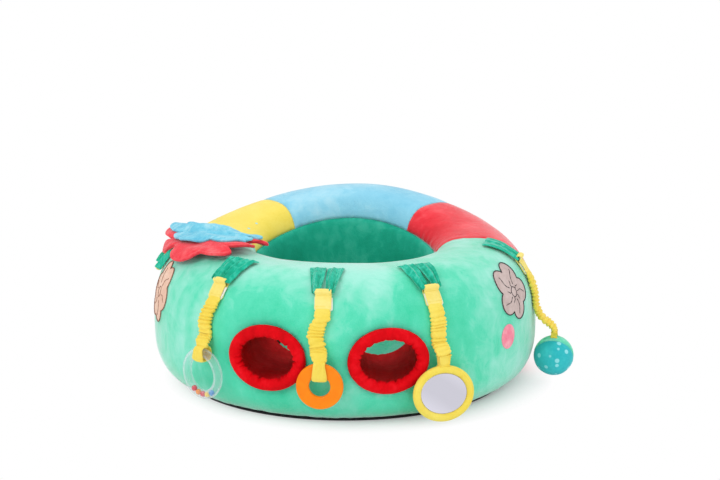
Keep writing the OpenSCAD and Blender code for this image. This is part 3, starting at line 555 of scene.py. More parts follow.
def ring_panel(name, node, a0, a1, t0, t1, mat, step=0.0036):
    """One panel of the cover, or of the well's wall, between two seams; step is its grid's."""
    front = a0 < 0
    nt = int(even(t0, t1, 1)[1] / step * RES)
    ts, length = even(t0, t1, nt)
    mean_r = sum(sec(t)[0] for t in ts) / len(ts)
    na = int((a1 - a0) * math.pi / 180 * mean_r / step * RES)

    def skin(a, t):
        return on_ring(a, t, skin_height(a, t, on_ring(a, t), front) - SINK)
    bm = grid(na, nt, lambda u, v: skin(lerp(a0, a1, u), ts[int(round(v * nt))]))
    if front:
        # the cut edge is drawn on to the opening's outline
        tuck, t_of = (TUCK, t_outside) if t0 < 0 else (0.0004, t_inside)
        cut = [(v, leg_near(v.co)) for v in bm.verts]
        bmesh.ops.delete(bm, geom=[v for v, near in cut if near[0] < -tuck - 0.7 * step / RES], context="VERTS")
        for v in [v for v in bm.verts if v.is_boundary or leg_near(v.co)[0] < -tuck]:
            d, _, side, u, w = leg_near(v.co)
            if abs(d) > 0.02:
                continue
            k = math.hypot(u / (LEG_W / 2 - tuck), w / (LEG_H / 2 - tuck))
            base, out = reach(side, u / k, w / k, t_of)
            p = base + LEGS[side][3] * out
            if t0 < t_of(p.z) < t1:
                v.co = skin(math.degrees(math.atan2(p.x, -p.y)), t_of(p.z))

    def from_middle(c):
        return c - at(math.degrees(math.atan2(c.x, -c.y)), RIDGE_R, 0.1)
    obj = finish(name, bm, mat, "seat", node, from_middle)
    area = thickened(obj, CLOTH_T)
    width = (a1 - a0) * math.pi / 180 * max(sec(t)[0] for t in ts)
    long_side = max(length, area / width) * 1.02
    clamp(area, 0.31 * width * long_side, width * long_side)


ring_panel("front_panel", "cover_front", -SIDE_SEAM, SIDE_SEAM, T_FOOT, T_SEAM, "mint", 0.0032)
for colour, a0, a1, slot in (("red", SIDE_SEAM, BACK_SEAM, "red_velour"),
                             ("blue", BACK_SEAM, 360 - BACK_SEAM, "blue_velour"),
                             ("yellow", 360 - BACK_SEAM, 360 - SIDE_SEAM, "yellow_print")):
    ring_panel("back_panel_" + colour, "cover_back_" + colour, a0, a1, T_FOOT, T_SEAM, colour)


# ---- leg rims and linings ---------------------------------------------------------------------
def rim_path(side, share, grow=0.0):
    """(centre of the rim's tube, outward direction in the opening, out along the tunnel)."""
    _, x, y, z = LEGS[side]
    q = share * TAU
    w, h = (LEG_W - RIM_D) / 2, (LEG_H - RIM_D) / 2
    out_x, out_y = cos(q) * h, sin(q) * w
    g = math.hypot(out_x, out_y)
    u, v = w * cos(q) + grow * out_x / g, h * sin(q) + grow * out_y / g
    base, out = reach(side, u, v)
    return base + z * (out + RIM_D / 2 - RIM_SEAT - 0.0005), x * (out_x / g) + y * (out_y / g), z


def leg_rim(side, word):
    """A padded roll, smooth outside and drawn into short gathers round its inner edge."""
    draw = random.Random(17 + side)
    gathers, share = [], 0.0
    while share < 1:
        gathers.append((share, draw.uniform(0.15, 1.0), draw.uniform(0.0055, 0.0095), draw.uniform(-0.012, 0.012)))
        share += draw.uniform(0.026, 0.060)

    def place(u, v):
        c, out, z = rim_path(side, u)
        q = v * TAU
        inner = smooth(0.5 - 0.62 * cos(q - 0.25))
        drawn = 0.0
        for at_share, depth, wide, slant in gathers:
            d = (u - at_share - slant * sin(q) + 0.5) % 1 - 0.5
            drawn += depth * (bell(d, wide) - 0.25 * bell(abs(d) - 2 * wide, wide))
        uneven = n3((cos(u * TAU) * 3, sin(u * TAU) * 3, v), 1.8, side)
        r = RIM_D / 2 * (1.04 - 0.34 * inner * min(1.0, drawn) + 0.04 * uneven)
        return c + out * cos(q) * r * 1.08 + z * sin(q) * r * 0.98

    def from_tube(c):
        o, x, y, _ = LEGS[side]
        return c - rim_path(side, (math.atan2((c - o).dot(y), (c - o).dot(x)) / TAU) % 1)[0]
    obj = finish("leg_roll_" + word, grid(int(300 * RES), int(28 * RES), place, True, True), "rim", "seat",
                 "leg_rim_" + word, from_tube)
    subdivide(obj)


def leg_tunnel(side, word):
    """The lining of a tunnel, and the bound edge where it meets the wall of the well."""
    o, x, _, z = LEGS[side]

    def ends(u, grow):
        """(foot in the plane of the opening, how far out the rim is, how far out the wall is, outward)"""
        c, out, _ = rim_path(side, u, grow)
        depth = (c - o).dot(z)
        flat = c - z * depth
        return flat, depth, reach(side, (flat - o).dot(x), flat.z - LEG_Z, t_inside)[1], out

    def place(u, v):
        flat, at_rim, at_wall, out = ends(u, 0.0060)
        p = flat + z * lerp(at_rim - 0.004, at_wall - 0.0008, v)
        gathered = abs(n3((cos(u * 6.28) * 3, sin(u * 6.28) * 3, v * 0.5), 3, 6))
        return p + out * min(0.0, 0.0012 * n3(p, 30, 2) + 0.0018 * gathered - 0.0024)
    obj = finish("leg_sleeve_" + word, grid(int(150 * RES), int(60 * RES), place, True), "rim", "seat",
                 "leg_lining_" + word, lambda c: (o + z * (c - o).dot(z)) - c)
    area = thickened(obj, 0.0015)
    bound = []
    for i in range(120):
        flat, _, at_wall, _ = ends(i / 120, 0.0062)
        bound.append(flat + z * (at_wall - 0.0006))
    tube("leg_binding_" + word, bound, lambda s, q: 0.0021 + 0.0003 * n3((s * 9, q, side), 1.0), 10, True, "rim",
         "seat")


for word, a0, a1 in (("front", -SIDE_SEAM, SIDE_SEAM), ("back", SIDE_SEAM, 360 - SIDE_SEAM)):
    ring_panel("wall_" + word, "well_wall_" + word, a0, a1, T_SEAM, T_WELL_FOOT, "wall", 0.004)
for side, word in ((-1, "left"), (1, "right")):
    leg_rim(side, word)
    leg_tunnel(side, word)


# ---- base, seat pad and bolster ---------------------------------------------------------------
BASE_R, BASE_LOW, BASE_T = 0.2364, 0.0001, 0.004


def base_cloth():
    bm = bmesh.new()
    bmesh.ops.create_cone(bm, cap_ends=True, cap_tris=False, segments=160, radius1=BASE_R - 0.001,
                          radius2=BASE_R + 0.0005, depth=BASE_T,
                          matrix=Matrix.Translation((0, 0, BASE_LOW + BASE_T / 2)))
    rim = [e for e in bm.edges if all(abs(math.hypot(*v.co.xy) - BASE_R) < 0.004 for v in e.verts)
           and abs(e.verts[0].co.z - e.verts[1].co.z) < 1e-4]
    rounded(bm, rim, 0.0012)
    obj = finish("base_sheet", bm, "base", "seat", "base_panel")
    for p in obj.data.polygons:
        p.use_smooth = abs(p.normal.z) < 0.9


base_cloth()


def simulate(obj, cap, pressure, frames, voxel):
    """Inflates a closed mesh as cloth and keeps each point within cap of where it began."""
    bpy.context.view_layer.objects.active = obj
    m = obj.modifiers.new("voxels", "REMESH")
    m.mode, m.voxel_size, m.use_smooth_shade = "VOXEL", voxel, True
    dg = bpy.context.evaluated_depsgraph_get()
    me = bpy.data.meshes.new_from_object(obj.evaluated_get(dg))
    obj.modifiers.clear()
    obj.data = me
    start = [v.co.copy() for v in me.vertices]
    c = obj.modifiers.new("cloth", "CLOTH")
    s = c.settings
    s.use_pressure, s.uniform_pressure_force = True, pressure
    s.quality, s.mass = 6, 0.3
    s.effector_weights.gravity = 0
    s.tension_stiffness = s.compression_stiffness = 12
    s.shrink_min = -0.04
    scene = bpy.context.scene
    c.point_cache.frame_start, c.point_cache.frame_end = 1, frames
    for f in range(1, frames + 1):
        scene.frame_set(f)
    dg = bpy.context.evaluated_depsgraph_get()
    done = bpy.data.meshes.new_from_object(obj.evaluated_get(dg))
    obj.modifiers.clear()
    obj.data = done
    for v, p in zip(done.vertices, start):
        move = v.co - p
        if move.length > cap:
            v.co = p + move * (cap / move.length)
    scene.frame_set(1)
    for p in done.polygons:
        p.use_smooth = True


PAD_R, PAD_LIFT, PAD_SEAM_H, PAD_CROWN, PAD_TOP, CHANNEL_R = 0.113, 0.0043, 0.014, 0.030, 0.0345, 0.062


def pad_profile(x):
    return PAD_LIFT + PAD_SEAM_H + (PAD_CROWN - PAD_SEAM_H) * max(0, 1 - (x / PAD_R) ** 3) ** 0.5


def seat_pad():
    """A round crowned cushion with one sewn channel and a piped edge."""
    bm = bmesh.new()
    bmesh.ops.create_uvsphere(bm, u_segments=96, v_segments=48, radius=1.0)
    for v in bm.verts:
        x, y, z = v.co
        k = math.hypot(x, y)
        r = (PAD_R - 0.004) * k ** 0.9
        a = math.atan2(y, x)
        top, low, edge = pad_profile(min(r, PAD_R)) - 0.003, PAD_LIFT + 0.001, PAD_LIFT + PAD_SEAM_H * 0.8
        v.co = Vector((r * cos(a), r * sin(a), top if z > 0.02 else low if z < -0.02 else edge))
    obj = finish("seat_cushion", bm, "pad", "seat", "seat_pad")
    simulate(obj, 0.006, 3.0, 16, 0.005)
    for v in obj.data.vertices:
        p = v.co
        r = math.hypot(p.x, p.y)
        if p.z > PAD_LIFT + 0.008:
            q = math.atan2(p.y, p.x)
            stitch = -0.0042 * bell(r - CHANNEL_R, 0.0045) + 0.0012 * bell(r - 0.074, 0.012)
            stitch += 0.0009 * n3((cos(q) * 4, sin(q) * 4, 0), 2.5) * bell(r - CHANNEL_R, 0.02)
            v.co.z = min(PAD_TOP, v.co.z + stitch + 0.0008 * n3(p, 40))
        v.co.z = max(PAD_LIFT, v.co.z)
        rr = PAD_R / max(PAD_R, r)
        v.co.x *= rr
        v.co.y *= rr
    subdivide(obj)
    path = [Vector((PAD_R * 0.992 * cos(q), PAD_R * 0.992 * sin(q), PAD_LIFT + PAD_SEAM_H))
            for q in (i / 160 * TAU for i in range(160))]
    tube("pad_piping", path, lambda s, q: 0.0017 + 0.0001 * sin(s * 900), 8, True, "mint_thread", "seat")


seat_pad()


def bolster():
    """The cushion that raises the back, between the inflated ring and the cover."""
    def place(u, v):
        a = lerp(118, 242, u)
        q = v * TAU
        t = lerp(141, 39, 0.5 + 0.5 * cos(q))
        r0, z0 = sec(t, FRONT_H + rise(a), 0.0062)
        r1, z1 = sec(t, FRONT_H, 0.001)
        k = 0.5 + 0.5 * sin(q)
        ends = 0.1 + 0.9 * sin(u * math.pi) ** 0.3
        return at(a, lerp(r1, r0, k), lerp(z1 + 0.0006, lerp(z1 + 0.0012, max(z1 + 0.0012, z0), ends), k))
    obj = finish("bolster_cushion", outward(grid(60, 28, place, False, True)), "fill", "seat", "back_bolster")


bolster()


def zip_cloth():
    """The zip's tape, low on the back; its teeth and slider are the CAD's."""
    rows = 10
    ts, length = even(t_outside(0.022), t_outside(0.046), rows)

    def place(u, v):
        return on_ring(lerp(147, 213, u), ts[int(round(v * rows))], 0.0008)
    obj = finish("zip_band", grid(120, rows, place), "zip", "seat", "zip_tape",
                 lambda c: Vector((c.x, c.y, 0)))
    area = thickened(obj, 0.0006)
    area / length


zip_cloth()


# ---- straps, tabs and loops --------------------------------------------------------------------
BAR_E, BAR_D, TAB_T, TAB_GAP, TAB_W, TAB_L, HOOK_W = 0.0054, 0.006, 0.0016, 0.0004, 0.022, 0.024, 0.024
TOY_R, STRAP_END, STRAP_W, STRAP_T, ROLL_L, LINK_W = 0.290, 0.099, 0.0205, 0.0076, 0.0056, 0.018
SEWN = 0.0004  # how far a tab lies off the cover
PLACES = {"leaf": (-82, 36, 68), "rattle": (-36, 51, 82), "teether": (-1.5, 51, 82), "mirror": (31.5, 51, 82),
          "ball": (82, 51, 82)}
BALL_R, BALL_Z, BALL_PATH = 0.0285, 0.041, 0.304
BALL_TOP = BALL_Z + BALL_R


def t_along(t, length, step=-0.25):
    while length > 0:
        (a, b), (c, d) = off(t, 0.001), off(t + step, 0.001)
        length -= math.hypot(c - a, d - b)
        t += step
    return t


def fine(points, n):
    """n + 1 evenly spaced points on a smooth line through (radius, height) points, and its length."""
    pts = [Vector((p[0], p[1], 0)) for p in points]
    out = []
    for i in range(len(pts) - 1):
        p0, p1, p2, p3 = pts[max(0, i - 1)], pts[i], pts[i + 1], pts[min(len(pts) - 1, i + 2)]
        for j in range(12):
            k = j / 12
            out.append(0.5 * ((2 * p1) + (p2 - p0) * k + (2 * p0 - 5 * p1 + 4 * p2 - p3) * k * k
                              + (3 * p1 - p0 - 3 * p2 + p3) * k ** 3))
    out.append(pts[-1])
    run = [0.0]
    for a, b in zip(out, out[1:]):
        run.append(run[-1] + (b - a).length)
    return [out[j].lerp(out[j + 1], k) for j, k in spaced(run, n)], run[-1]


def toy_axes(a):
    """(along the ring, outward) at that angle."""
    return Vector((cos(rad(a)), sin(rad(a)), 0)), Vector((sin(rad(a)), -cos(rad(a)), 0))


def strap(toy, ends, lean, seed):
    """A fabric sleeve ruched over elastic, in short rolls that are broken across its width.

    lean is how far it hangs aside, in metres, at even steps of its length."""
    a, bar_t, _ = PLACES[toy]
    t0 = t_along(bar_t, TAB_L * 0.86)
    line, length = fine([off(lerp(t0, 12, i / 6), 0.0043) for i in range(7)] + ends, int(230 * RES))
    n = len(line) - 1
    x, _ = toy_axes(a)

    def ruche(s, side):
        """0 in a crease and 1 on a roll; creases slant and break across the width."""
        phase = s / ROLL_L + 0.8 * n3((s, side * 0.004, 0), 85, seed) + 0.30 * n3((side, s * 30, 0), 1.3, seed)
        depth = 0.55 + 0.45 * clamp(0.5 + 1.2 * n3((s * 1.4, side * 0.009, 3), 80, seed + 5))
        return 1 - (1 - abs(sin(math.pi * phase)) ** 0.7) * depth

    def place(u, v):
        i = int(round(u * n))
        p = line[i]
        g = (line[min(n, i + 2)] - line[max(0, i - 2)]).normalized()
        q, s = v * TAU, u * length
        side = cos(q)
        # plain at the tab, drawn in from there, and drawn hard at the toy
        drawn = smooth(s / 0.020) * (0.55 + 0.45 * smooth((length - s) / 0.012))
        roll = ruche(s, side)
        bulge = 0.09 * n3((s, 0.4 * (1 if side > 0 else -1), 4), 75, seed + 3)
        edge_roll = ruche(s, 1 if side > 0 else -1)
        tip = 0.86 + 0.14 * smooth(min(u, 1 - u) * 16)
        w = STRAP_W / 2 * spow(side, 0.5) * (1.03 + drawn * (bulge + 0.30 * edge_roll - 0.20)) * tip
        lump = 0.12 * n3((s, side * 0.004, 2), 110, seed)
        h = STRAP_T / 2 * spow(sin(q), 0.8) * lerp(0.62, 0.42 + 0.80 * roll + lump, drawn) * tip
        k = u * (len(lean) - 1)
        j = min(int(k), len(lean) - 2)
        sway = lerp(lean[j], lean[j + 1], smooth(k - j)) + 0.0007 * sin(s * 90 + seed) * smooth(u * 3)
        return at(a, p.x - h * g.y, p.y + h * g.x) + x * (w + sway)
    obj = finish(toy + "_elastic", outward(grid(n, int(44 * RES), place, False, True)), "strap", None,
                 toy + "_strap")
    subdivide(obj)
    top = line[int(0.66 * n)]
    tuple(at(a, top.x, top.y))
    tuple(at(a, line[n].x, line[n].y))
    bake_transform(obj)


def tab(toy, tilt, seed):
    """A yellow tab folded round the loop's bar, with the hook tape's edges showing."""
    a, bar_t, _ = PLACES[toy]
    x, out = toy_axes(a)
    br, bz = off(bar_t, BAR_E)
    ring = BAR_D / 2 + TAB_GAP + TAB_T / 2
    ts = [t_along(bar_t, TAB_L * i / 10) if i else bar_t for i in range(11)]
    outer = [off(t, SEWN + 2 * TAB_T + 0.0014 - TAB_T / 2) for t in ts]
    inner = [off(t, SEWN + TAB_T / 2) for t in ts]
    g = (Vector(off(bar_t - 1, 0)) - Vector(off(bar_t, 0))).normalized()
    up = Vector((-g.y, g.x))
    if up.dot(Vector((br, bz)) - Vector(sec(bar_t))) < 0:
        up = -up
    wrap = [Vector((br, bz)) - g * cos(rad(q)) * ring + up * sin(rad(q)) * ring for q in range(-100, 101, 20)]
    pts = [tuple(p) for p in reversed(inner[1:])] + [tuple(p) for p in wrap] + [tuple(p) for p in outer[1:]]
    n = int(120 * RES)
    line, length = fine(pts, n)

    def place(u, v):
        i = int(round(u * n))
        p = line[i]
        side = v * 2 - 1
        end = min(u, 1 - u) * length
        # rounded lower corners, and a skew to one side
        w = TAB_W / 2 * (1 - 0.42 * (1 - clamp(end / 0.0055)) ** 2.2)
        skew = tilt * clamp(u - 0.45) * 1.8 * TAB_L
        gg = (line[min(n, i + 1)] - line[max(0, i - 1)]).normalized()
        puff = 0.0011 * (1 - side ** 4) * (1 if u > 0.5 else 0.2) + 0.0004 * n3((u * 2, v, seed), 4)
        puff -= 0.0008 * bell(end - 0.0062, 0.0011) * (u > 0.5)
        return at(a, p.x - gg.y * puff, p.y + gg.x * puff) + x * (side * w + skew)
    mid = at(a, br, bz)
    obj = finish(toy + "_fold", grid(n, int(24 * RES), place), "tape", toy + "_on_loop", toy + "_tab",
                 lambda c: c - (mid if c.z > mid.z - 0.004 else at(a, *off(t_along(bar_t, 0.012), 0.0026))))
    area = thickened(obj, 0.0014, 0.0)
    subdivide(obj)
    max(length, area / TAB_W)
    h0, h1 = t_along(bar_t, 0.0050), t_along(bar_t, TAB_L - 0.0004)

    def hook(u, v):
        side = v * 2 - 1
        w = HOOK_W / 2 * (1 - 0.25 * smooth((u - 0.8) * 5) ** 2)
        lift = SEWN + TAB_T + 0.0006 + 0.0006 * n3((u * 3, v * 3, seed), 1.3)
        return at(a, *off(lerp(h0, h1, u), lift)) + x * (side * w + 0.0008 + tilt * u * 0.9 * TAB_L)
    hooks = finish(toy + "_hooks", grid(16, 12, hook), "hook", toy + "_on_loop", toy + "_hook_tape",
                   lambda c: out)
    area = thickened(hooks, 0.0009, 0.0)
    k = t_along(bar_t, TAB_L - 0.0062)
    seam = [at(a, *off(k, SEWN + 2 * TAB_T + 0.0015)) + x * (lerp(-0.0088, 0.0088, i / 24) + tilt * 0.6 * TAB_L)
            for i in range(25)]
    tube(toy + "_stitches", seam, lambda s, q: 0.00028 + 0.00016 * sin(s * 75), 6, False, "strap",
         toy + "_on_loop")


def loop(toy, seed):
    """A strip of pile fabric bunched at the bar, whose two legs fan out side by side to the seam."""
    a, bar_t, top_t = PLACES[toy]
    x, _ = toy_axes(a)
    # the leaf toy's tab passes between its loop's legs
    open_up = 0.0105 if toy == "leaf" else 0.0
    # the ball's tab folds back over its loop, which lies flatter for that
    loft = 0.25 if toy == "ball" else 1.0

    def leg(hand):
        def place(u, v):
            q = v * TAU
            side, rise_e = spow(cos(q), 0.6), 0.0012 * (1 + spow(sin(q), 0.7))
            t = lerp(bar_t - 0.5, top_t + 3, u)
            inner = lerp(0.0030, 0.0006, smooth(u * 1.6)) + open_up
            outer = lerp(0.0150, 0.0235 if not open_up else 0.0130, u ** 0.9) + open_up * 0.7
            outer *= 1 + 0.03 * n3((u * 2, hand, seed), 1.7)
            k = 0.5 + 0.5 * side
            # long soft pleats that open out from the bar
            pleat = sin(k * 12 + seed * 1.7 + hand + 1.2 * n3((u * 1.2, k, seed), 1.5)) ** 3
            fold = 0.0034 * pleat * (1 - 0.45 * u) + 0.0010 * n3((k * 2, u * 3, seed), 1.6, hand)
            arch = 0.0040 * (1 - side * side) * (1 - 0.6 * u)
            curl = 0.0020 * max(0.0, side) ** 3 * (0.5 + n3((u * 2.2, hand, seed + 2), 1.5))
            low = 0.0008 + lerp(BAR_E - 0.0034, 0.0003, smooth(u * 2.2))
            e = max(0.0006, low + loft * (fold + arch + curl))
            e = lerp(e, 0.0005, smooth((u - 0.88) * 8))
            return at(a, *off(t, e + rise_e)) + x * (hand * lerp(inner, outer, k))
        return outward(grid(int(40 * RES), int(90 * RES), place, False, True))
    obj = finish("loop_cloth_" + toy, joined(leg(-1), leg(1)), "green", "seat", "loop_" + toy)
    subdivide(obj)


def strap_end(toy, low, half, hang, seed):
    """The strap's plain end, a flat band folded round the ring that it holds."""
    a = PLACES[toy][0]
    x, _ = toy_axes(a)
    high, w, steps = STRAP_END - 0.0009, LINK_W / 2, 48
    mid_z, tall = lerp(low, high, 0.5), (high - low) / 2
    path = [(TOY_R + half * spow(cos(q), 0.55), mid_z + tall * spow(sin(q), 0.6))
            for q in (i / steps * TAU for i in range(steps))]

    def place(u, v):
        p = path[int(round(u * steps)) % steps]
        side = v * 2 - 1
        cx, cz = (p[0] - TOY_R) / half, (p[1] - mid_z) / tall
        puff = 0.0008 * abs(n3((cx, cz, side), 2.2, seed)) + 0.0019 * (1 - side ** 4) * (1 - 0.6 * clamp(cz))
        pleat = 0.0008 * (1 + sin(side * 10 + seed)) * clamp(0.5 + cz)
        wide = w * lerp(1.10, 0.84, smooth(0.5 + 0.5 * cz))
        return at(a, p[0] + cx * (puff + pleat), p[1] + cz * puff) + x * (side * wide + hang * clamp(-cz) * 0.002)
    mid = at(a, TOY_R, mid_z)
    obj = finish(toy + "_end", grid(steps, 20, place, True), "strap", toy + "_hanging", toy + "_strap_end",
                 lambda c: c - mid)
    area = thickened(obj, 0.0013, 0.6)
    subdivide(obj)


front_ends = [(TOY_R - 0.007, STRAP_END + 0.0095), (TOY_R - 0.0025, STRAP_END + 0.0065), (TOY_R, STRAP_END + 0.0035),
              (TOY_R, STRAP_END + 0.0003)]
ball_ends = [(BALL_PATH - 0.022, BALL_TOP + 0.034), (BALL_PATH - 0.016, BALL_TOP + 0.026),
             (BALL_PATH - 0.010, BALL_TOP + 0.021), (BALL_PATH - 0.004, BALL_TOP + 0.016),
             (BALL_PATH, BALL_TOP + 0.011), (BALL_PATH, BALL_TOP + 0.007)]
# the tab's tilt, and how the strap leans
HANGING = {"rattle": (-0.10, (0, -0.003, -0.0075, -0.0085, -0.006, -0.003, 0)),
           "teether": (0.05, (0.001, 0.0005, -0.006, -0.0075, -0.004, -0.0015, 0)),
           "mirror": (0.06, (0, 0.0015, 0.001, -0.001, -0.001, 0, 0)),
           "ball": (0.0, (0, 0.001, 0.003, -0.002, -0.004, 0, 0))}
for i, (toy, (tilt, lean)) in enumerate(HANGING.items()):
    strap(toy, ball_ends if toy == "ball" else front_ends, lean, i * 5 + 1)
    tab(toy, tilt, i)
    loop(toy, i * 3 + 2)
loop("leaf", 14)

LINK_T, LINK_GAP = 0.0015, 0.0006
RATTLE_R, RATTLE_TUBE, TEETHER_R, TEETHER_HOLE, TEETHER_T = 0.029, 0.0124, 0.031, 0.014, 0.007
RATTLE_Z = STRAP_END - 0.0001 - LINK_T - LINK_GAP - RATTLE_R - RATTLE_TUBE / 2
TEETHER_Z = STRAP_END - 0.0001 - LINK_T - LINK_GAP - TEETHER_R


def link_low(z, hole):
    """Height of the band's underside, where its corners clear the ring's hole."""
    return z + math.sqrt(hole ** 2 - LINK_W ** 2 / 4) - LINK_GAP - LINK_T / 2


strap_end("rattle", link_low(RATTLE_Z, RATTLE_R - RATTLE_TUBE / 2), RATTLE_TUBE / 2 + LINK_GAP + LINK_T / 2, -1, 1)
strap_end("teether", link_low(TEETHER_Z, TEETHER_HOLE), TEETHER_T / 2 + LINK_GAP + LINK_T / 2, 0, 2)


def tongue(toy, r, low, high, w):
    """The end of a strap that is sewn into its toy."""
    a = PLACES[toy][0]
    x, out = toy_axes(a)
    bm = bmesh.new()
    bmesh.ops.create_cube(bm, size=1.0)
    for v in bm.verts:
        wide = 2 * w * (0.95 if v.co.z > 0 else 0.8)
        v.co = at(a, r + v.co.y * 0.0056, lerp(low, high, v.co.z + 0.5)) + x * (v.co.x * wide)
    rounded(bm, list(bm.edges), 0.0016)
    bmesh.ops.subdivide_edges(bm, edges=list(bm.edges), cuts=3, use_grid_fill=True)
    for v in bm.verts:
        v.co += out * (0.0007 * n3(v.co, 300) + 0.0006 * sin(v.co.dot(x) * 1500))
    bmesh.ops.recalc_face_normals(bm, faces=bm.faces)
    obj = finish(toy + "_end", bm, "strap", toy + "_hanging", toy + "_strap_end")
    subdivide(obj)


MIRROR_W, MIRROR_H, MIRROR_RIM, MIRROR_Z, MIRROR_TURN, BACKING_W = 0.092, 0.077, 0.011, 0.047, -14, 0.0725
mirror_top = math.hypot(MIRROR_H / 2 * cos(rad(MIRROR_TURN)), MIRROR_W / 2 * sin(rad(MIRROR_TURN)))
tongue("mirror", TOY_R, MIRROR_Z + mirror_top - 0.001, STRAP_END, LINK_W / 2)
tongue("ball", BALL_PATH, BALL_TOP - 0.001, BALL_TOP + 0.0068, 0.0075)


# ---- the CAD's own pieces, beads, mirror and ball -------------------------------------------------
for name, mat in (("rattle_ring", "clear"), ("teether_ring", "orange"), ("zip_teeth", "nylon"),
                  ("zip_slider", "steel"), ("zip_pull", "steel"), ("valve_body", "vinyl"), ("valve_plug", "vinyl"),
                  ("inflated_front", "vinyl"), ("inflated_back", "vinyl"), ("mirror_sheet", "mirror"),
                  ("ball_capsule", "white")):
    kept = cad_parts[name].data
    kept.materials.clear()
    kept.materials.append(MATS[mat])
    for p in kept.polygons:
        p.material_index = 0


def disc_frame(toy, r, z, turn=0.0):
    """x along the ring, y up, z outward, turned in its own plane."""
    a = PLACES[toy][0]
    x, out = toy_axes(a)
    y = Vector((0, 0, 1))
    c, s = cos(rad(turn)), sin(rad(turn))
    return at(a, r, z), x * c + y * s, y * c - x * s, out


BEAD_D = 0.008
BEAD_STEP = 2 * math.degrees(math.asin(BEAD_D / 2 / RATTLE_R)) + 1


def beads():
    """Five beads that lie at the bottom of the clear tube."""
    o, x, y, _ = disc_frame("rattle", TOY_R, RATTLE_Z)
    colours = ("beads", "bead_orange", "beads", "bead_yellow", "bead_blue")
    bm = bmesh.new()
    for i in range(len(colours)):
        q = rad((i - 2) * BEAD_STEP)
        centre = o + (x * sin(q) - y * cos(q)) * RATTLE_R
        made = bmesh.ops.create_uvsphere(bm, u_segments=28, v_segments=18, radius=BEAD_D / 2,
                                         matrix=Matrix.Translation(centre))
        for f in {f for v in made["verts"] for f in v.link_faces}:
            f.material_index = i
    finish("bead_row", bm, colours, "rattle_beads", "rattle_beads")


beads()


def mirror():
    """The padded oval rim and the cloth behind the mirror sheet."""
    o, x, y, out = disc_frame("mirror", TOY_R + 0.001, MIRROR_Z, MIRROR_TURN)
    w, h = (MIRROR_W - MIRROR_RIM) / 2, (MIRROR_H - MIRROR_RIM) / 2

    def place(u, v):
        q, k = u * TAU, v * TAU
        nx, ny = cos(q) * h, sin(q) * w
        g = math.hypot(nx, ny)
        inner = 0.5 - 0.5 * cos(k)
        pucker = 1 + 0.05 * n3((cos(q) * 4, sin(q) * 4, 0.4 * cos(k)), 3, 2) * inner \
            - 0.10 * inner * math.exp(-abs(n3((cos(q) * 5, sin(q) * 5, 0.1), 4, 8)) * 12) \
            - 0.10 * bell((k - 0.9 + math.pi) % TAU - math.pi, 0.16)
        r = MIRROR_RIM / 2 * pucker
        outward = (x * (nx / g) + y * (ny / g)) * (cos(k) * r)
        return o + x * (w * cos(q)) + y * (h * sin(q)) + outward + out * sin(k) * r * 0.92
    obj = finish("mirror_roll", outward(grid(int(200 * RES), int(28 * RES), place, True, True), False),
                 "rim_yellow", "mirror_hanging", "mirror_rim")
    subdivide(obj)

    def back(u, v):
        q = u * TAU
        bw, bh = (MIRROR_W / 2 - MIRROR_RIM * 0.9) * v, (MIRROR_H / 2 - MIRROR_RIM * 0.9) * v
        return o + x * (bw * cos(q)) + y * (bh * sin(q)) - out * (0.0016 + 0.0016 * (1 - v ** 4))
    obj = finish("mirror_back", grid(64, 12, back, True), "rim_yellow", "mirror_hanging", "mirror_backing",
                 lambda c: -out)
    area = thickened(obj, 0.0012)


mirror()


def ball():
    """Two stuffed halves that meet in a sunk seam."""
    o, x, y, out = disc_frame("ball", BALL_PATH, BALL_Z, 25)
    for name, sign, colour in (("ball_dots", -1, "blue"), ("ball_plain", 1, "green")):
        def place(u, v):
            q, k = u * TAU, v * math.pi / 2
            c, s = cos(k), sin(k)
            d = x * (sign * s) + (y * cos(q) + out * sin(q)) * c
            edge = k * BALL_R
            seam = -0.0011 * bell(edge, 0.0014) + 0.0004 * n3((cos(q) * 3, sin(q) * 3, 0), 4) * bell(edge, 0.006)
            return o + d * (BALL_R - 0.0002 + seam + 0.0005 * n3(o + d * BALL_R, 60)) + x * (sign * 0.00008)
        obj = finish(name, outward(grid(int(96 * RES), int(36 * RES), place, True)), "ball_" + colour,
                     "ball_hanging", "ball_half_" + colour, lambda c: c - o)


ball()


# ---- leaf toy -------------------------------------------------------------------------------------
LEAF_BASE, LEAF_L, LEAF_HALF_W, LEAF_CUT_L, LEAF_LEAST_W = 0.66, 0.19, 0.042, 0.22, 0.06


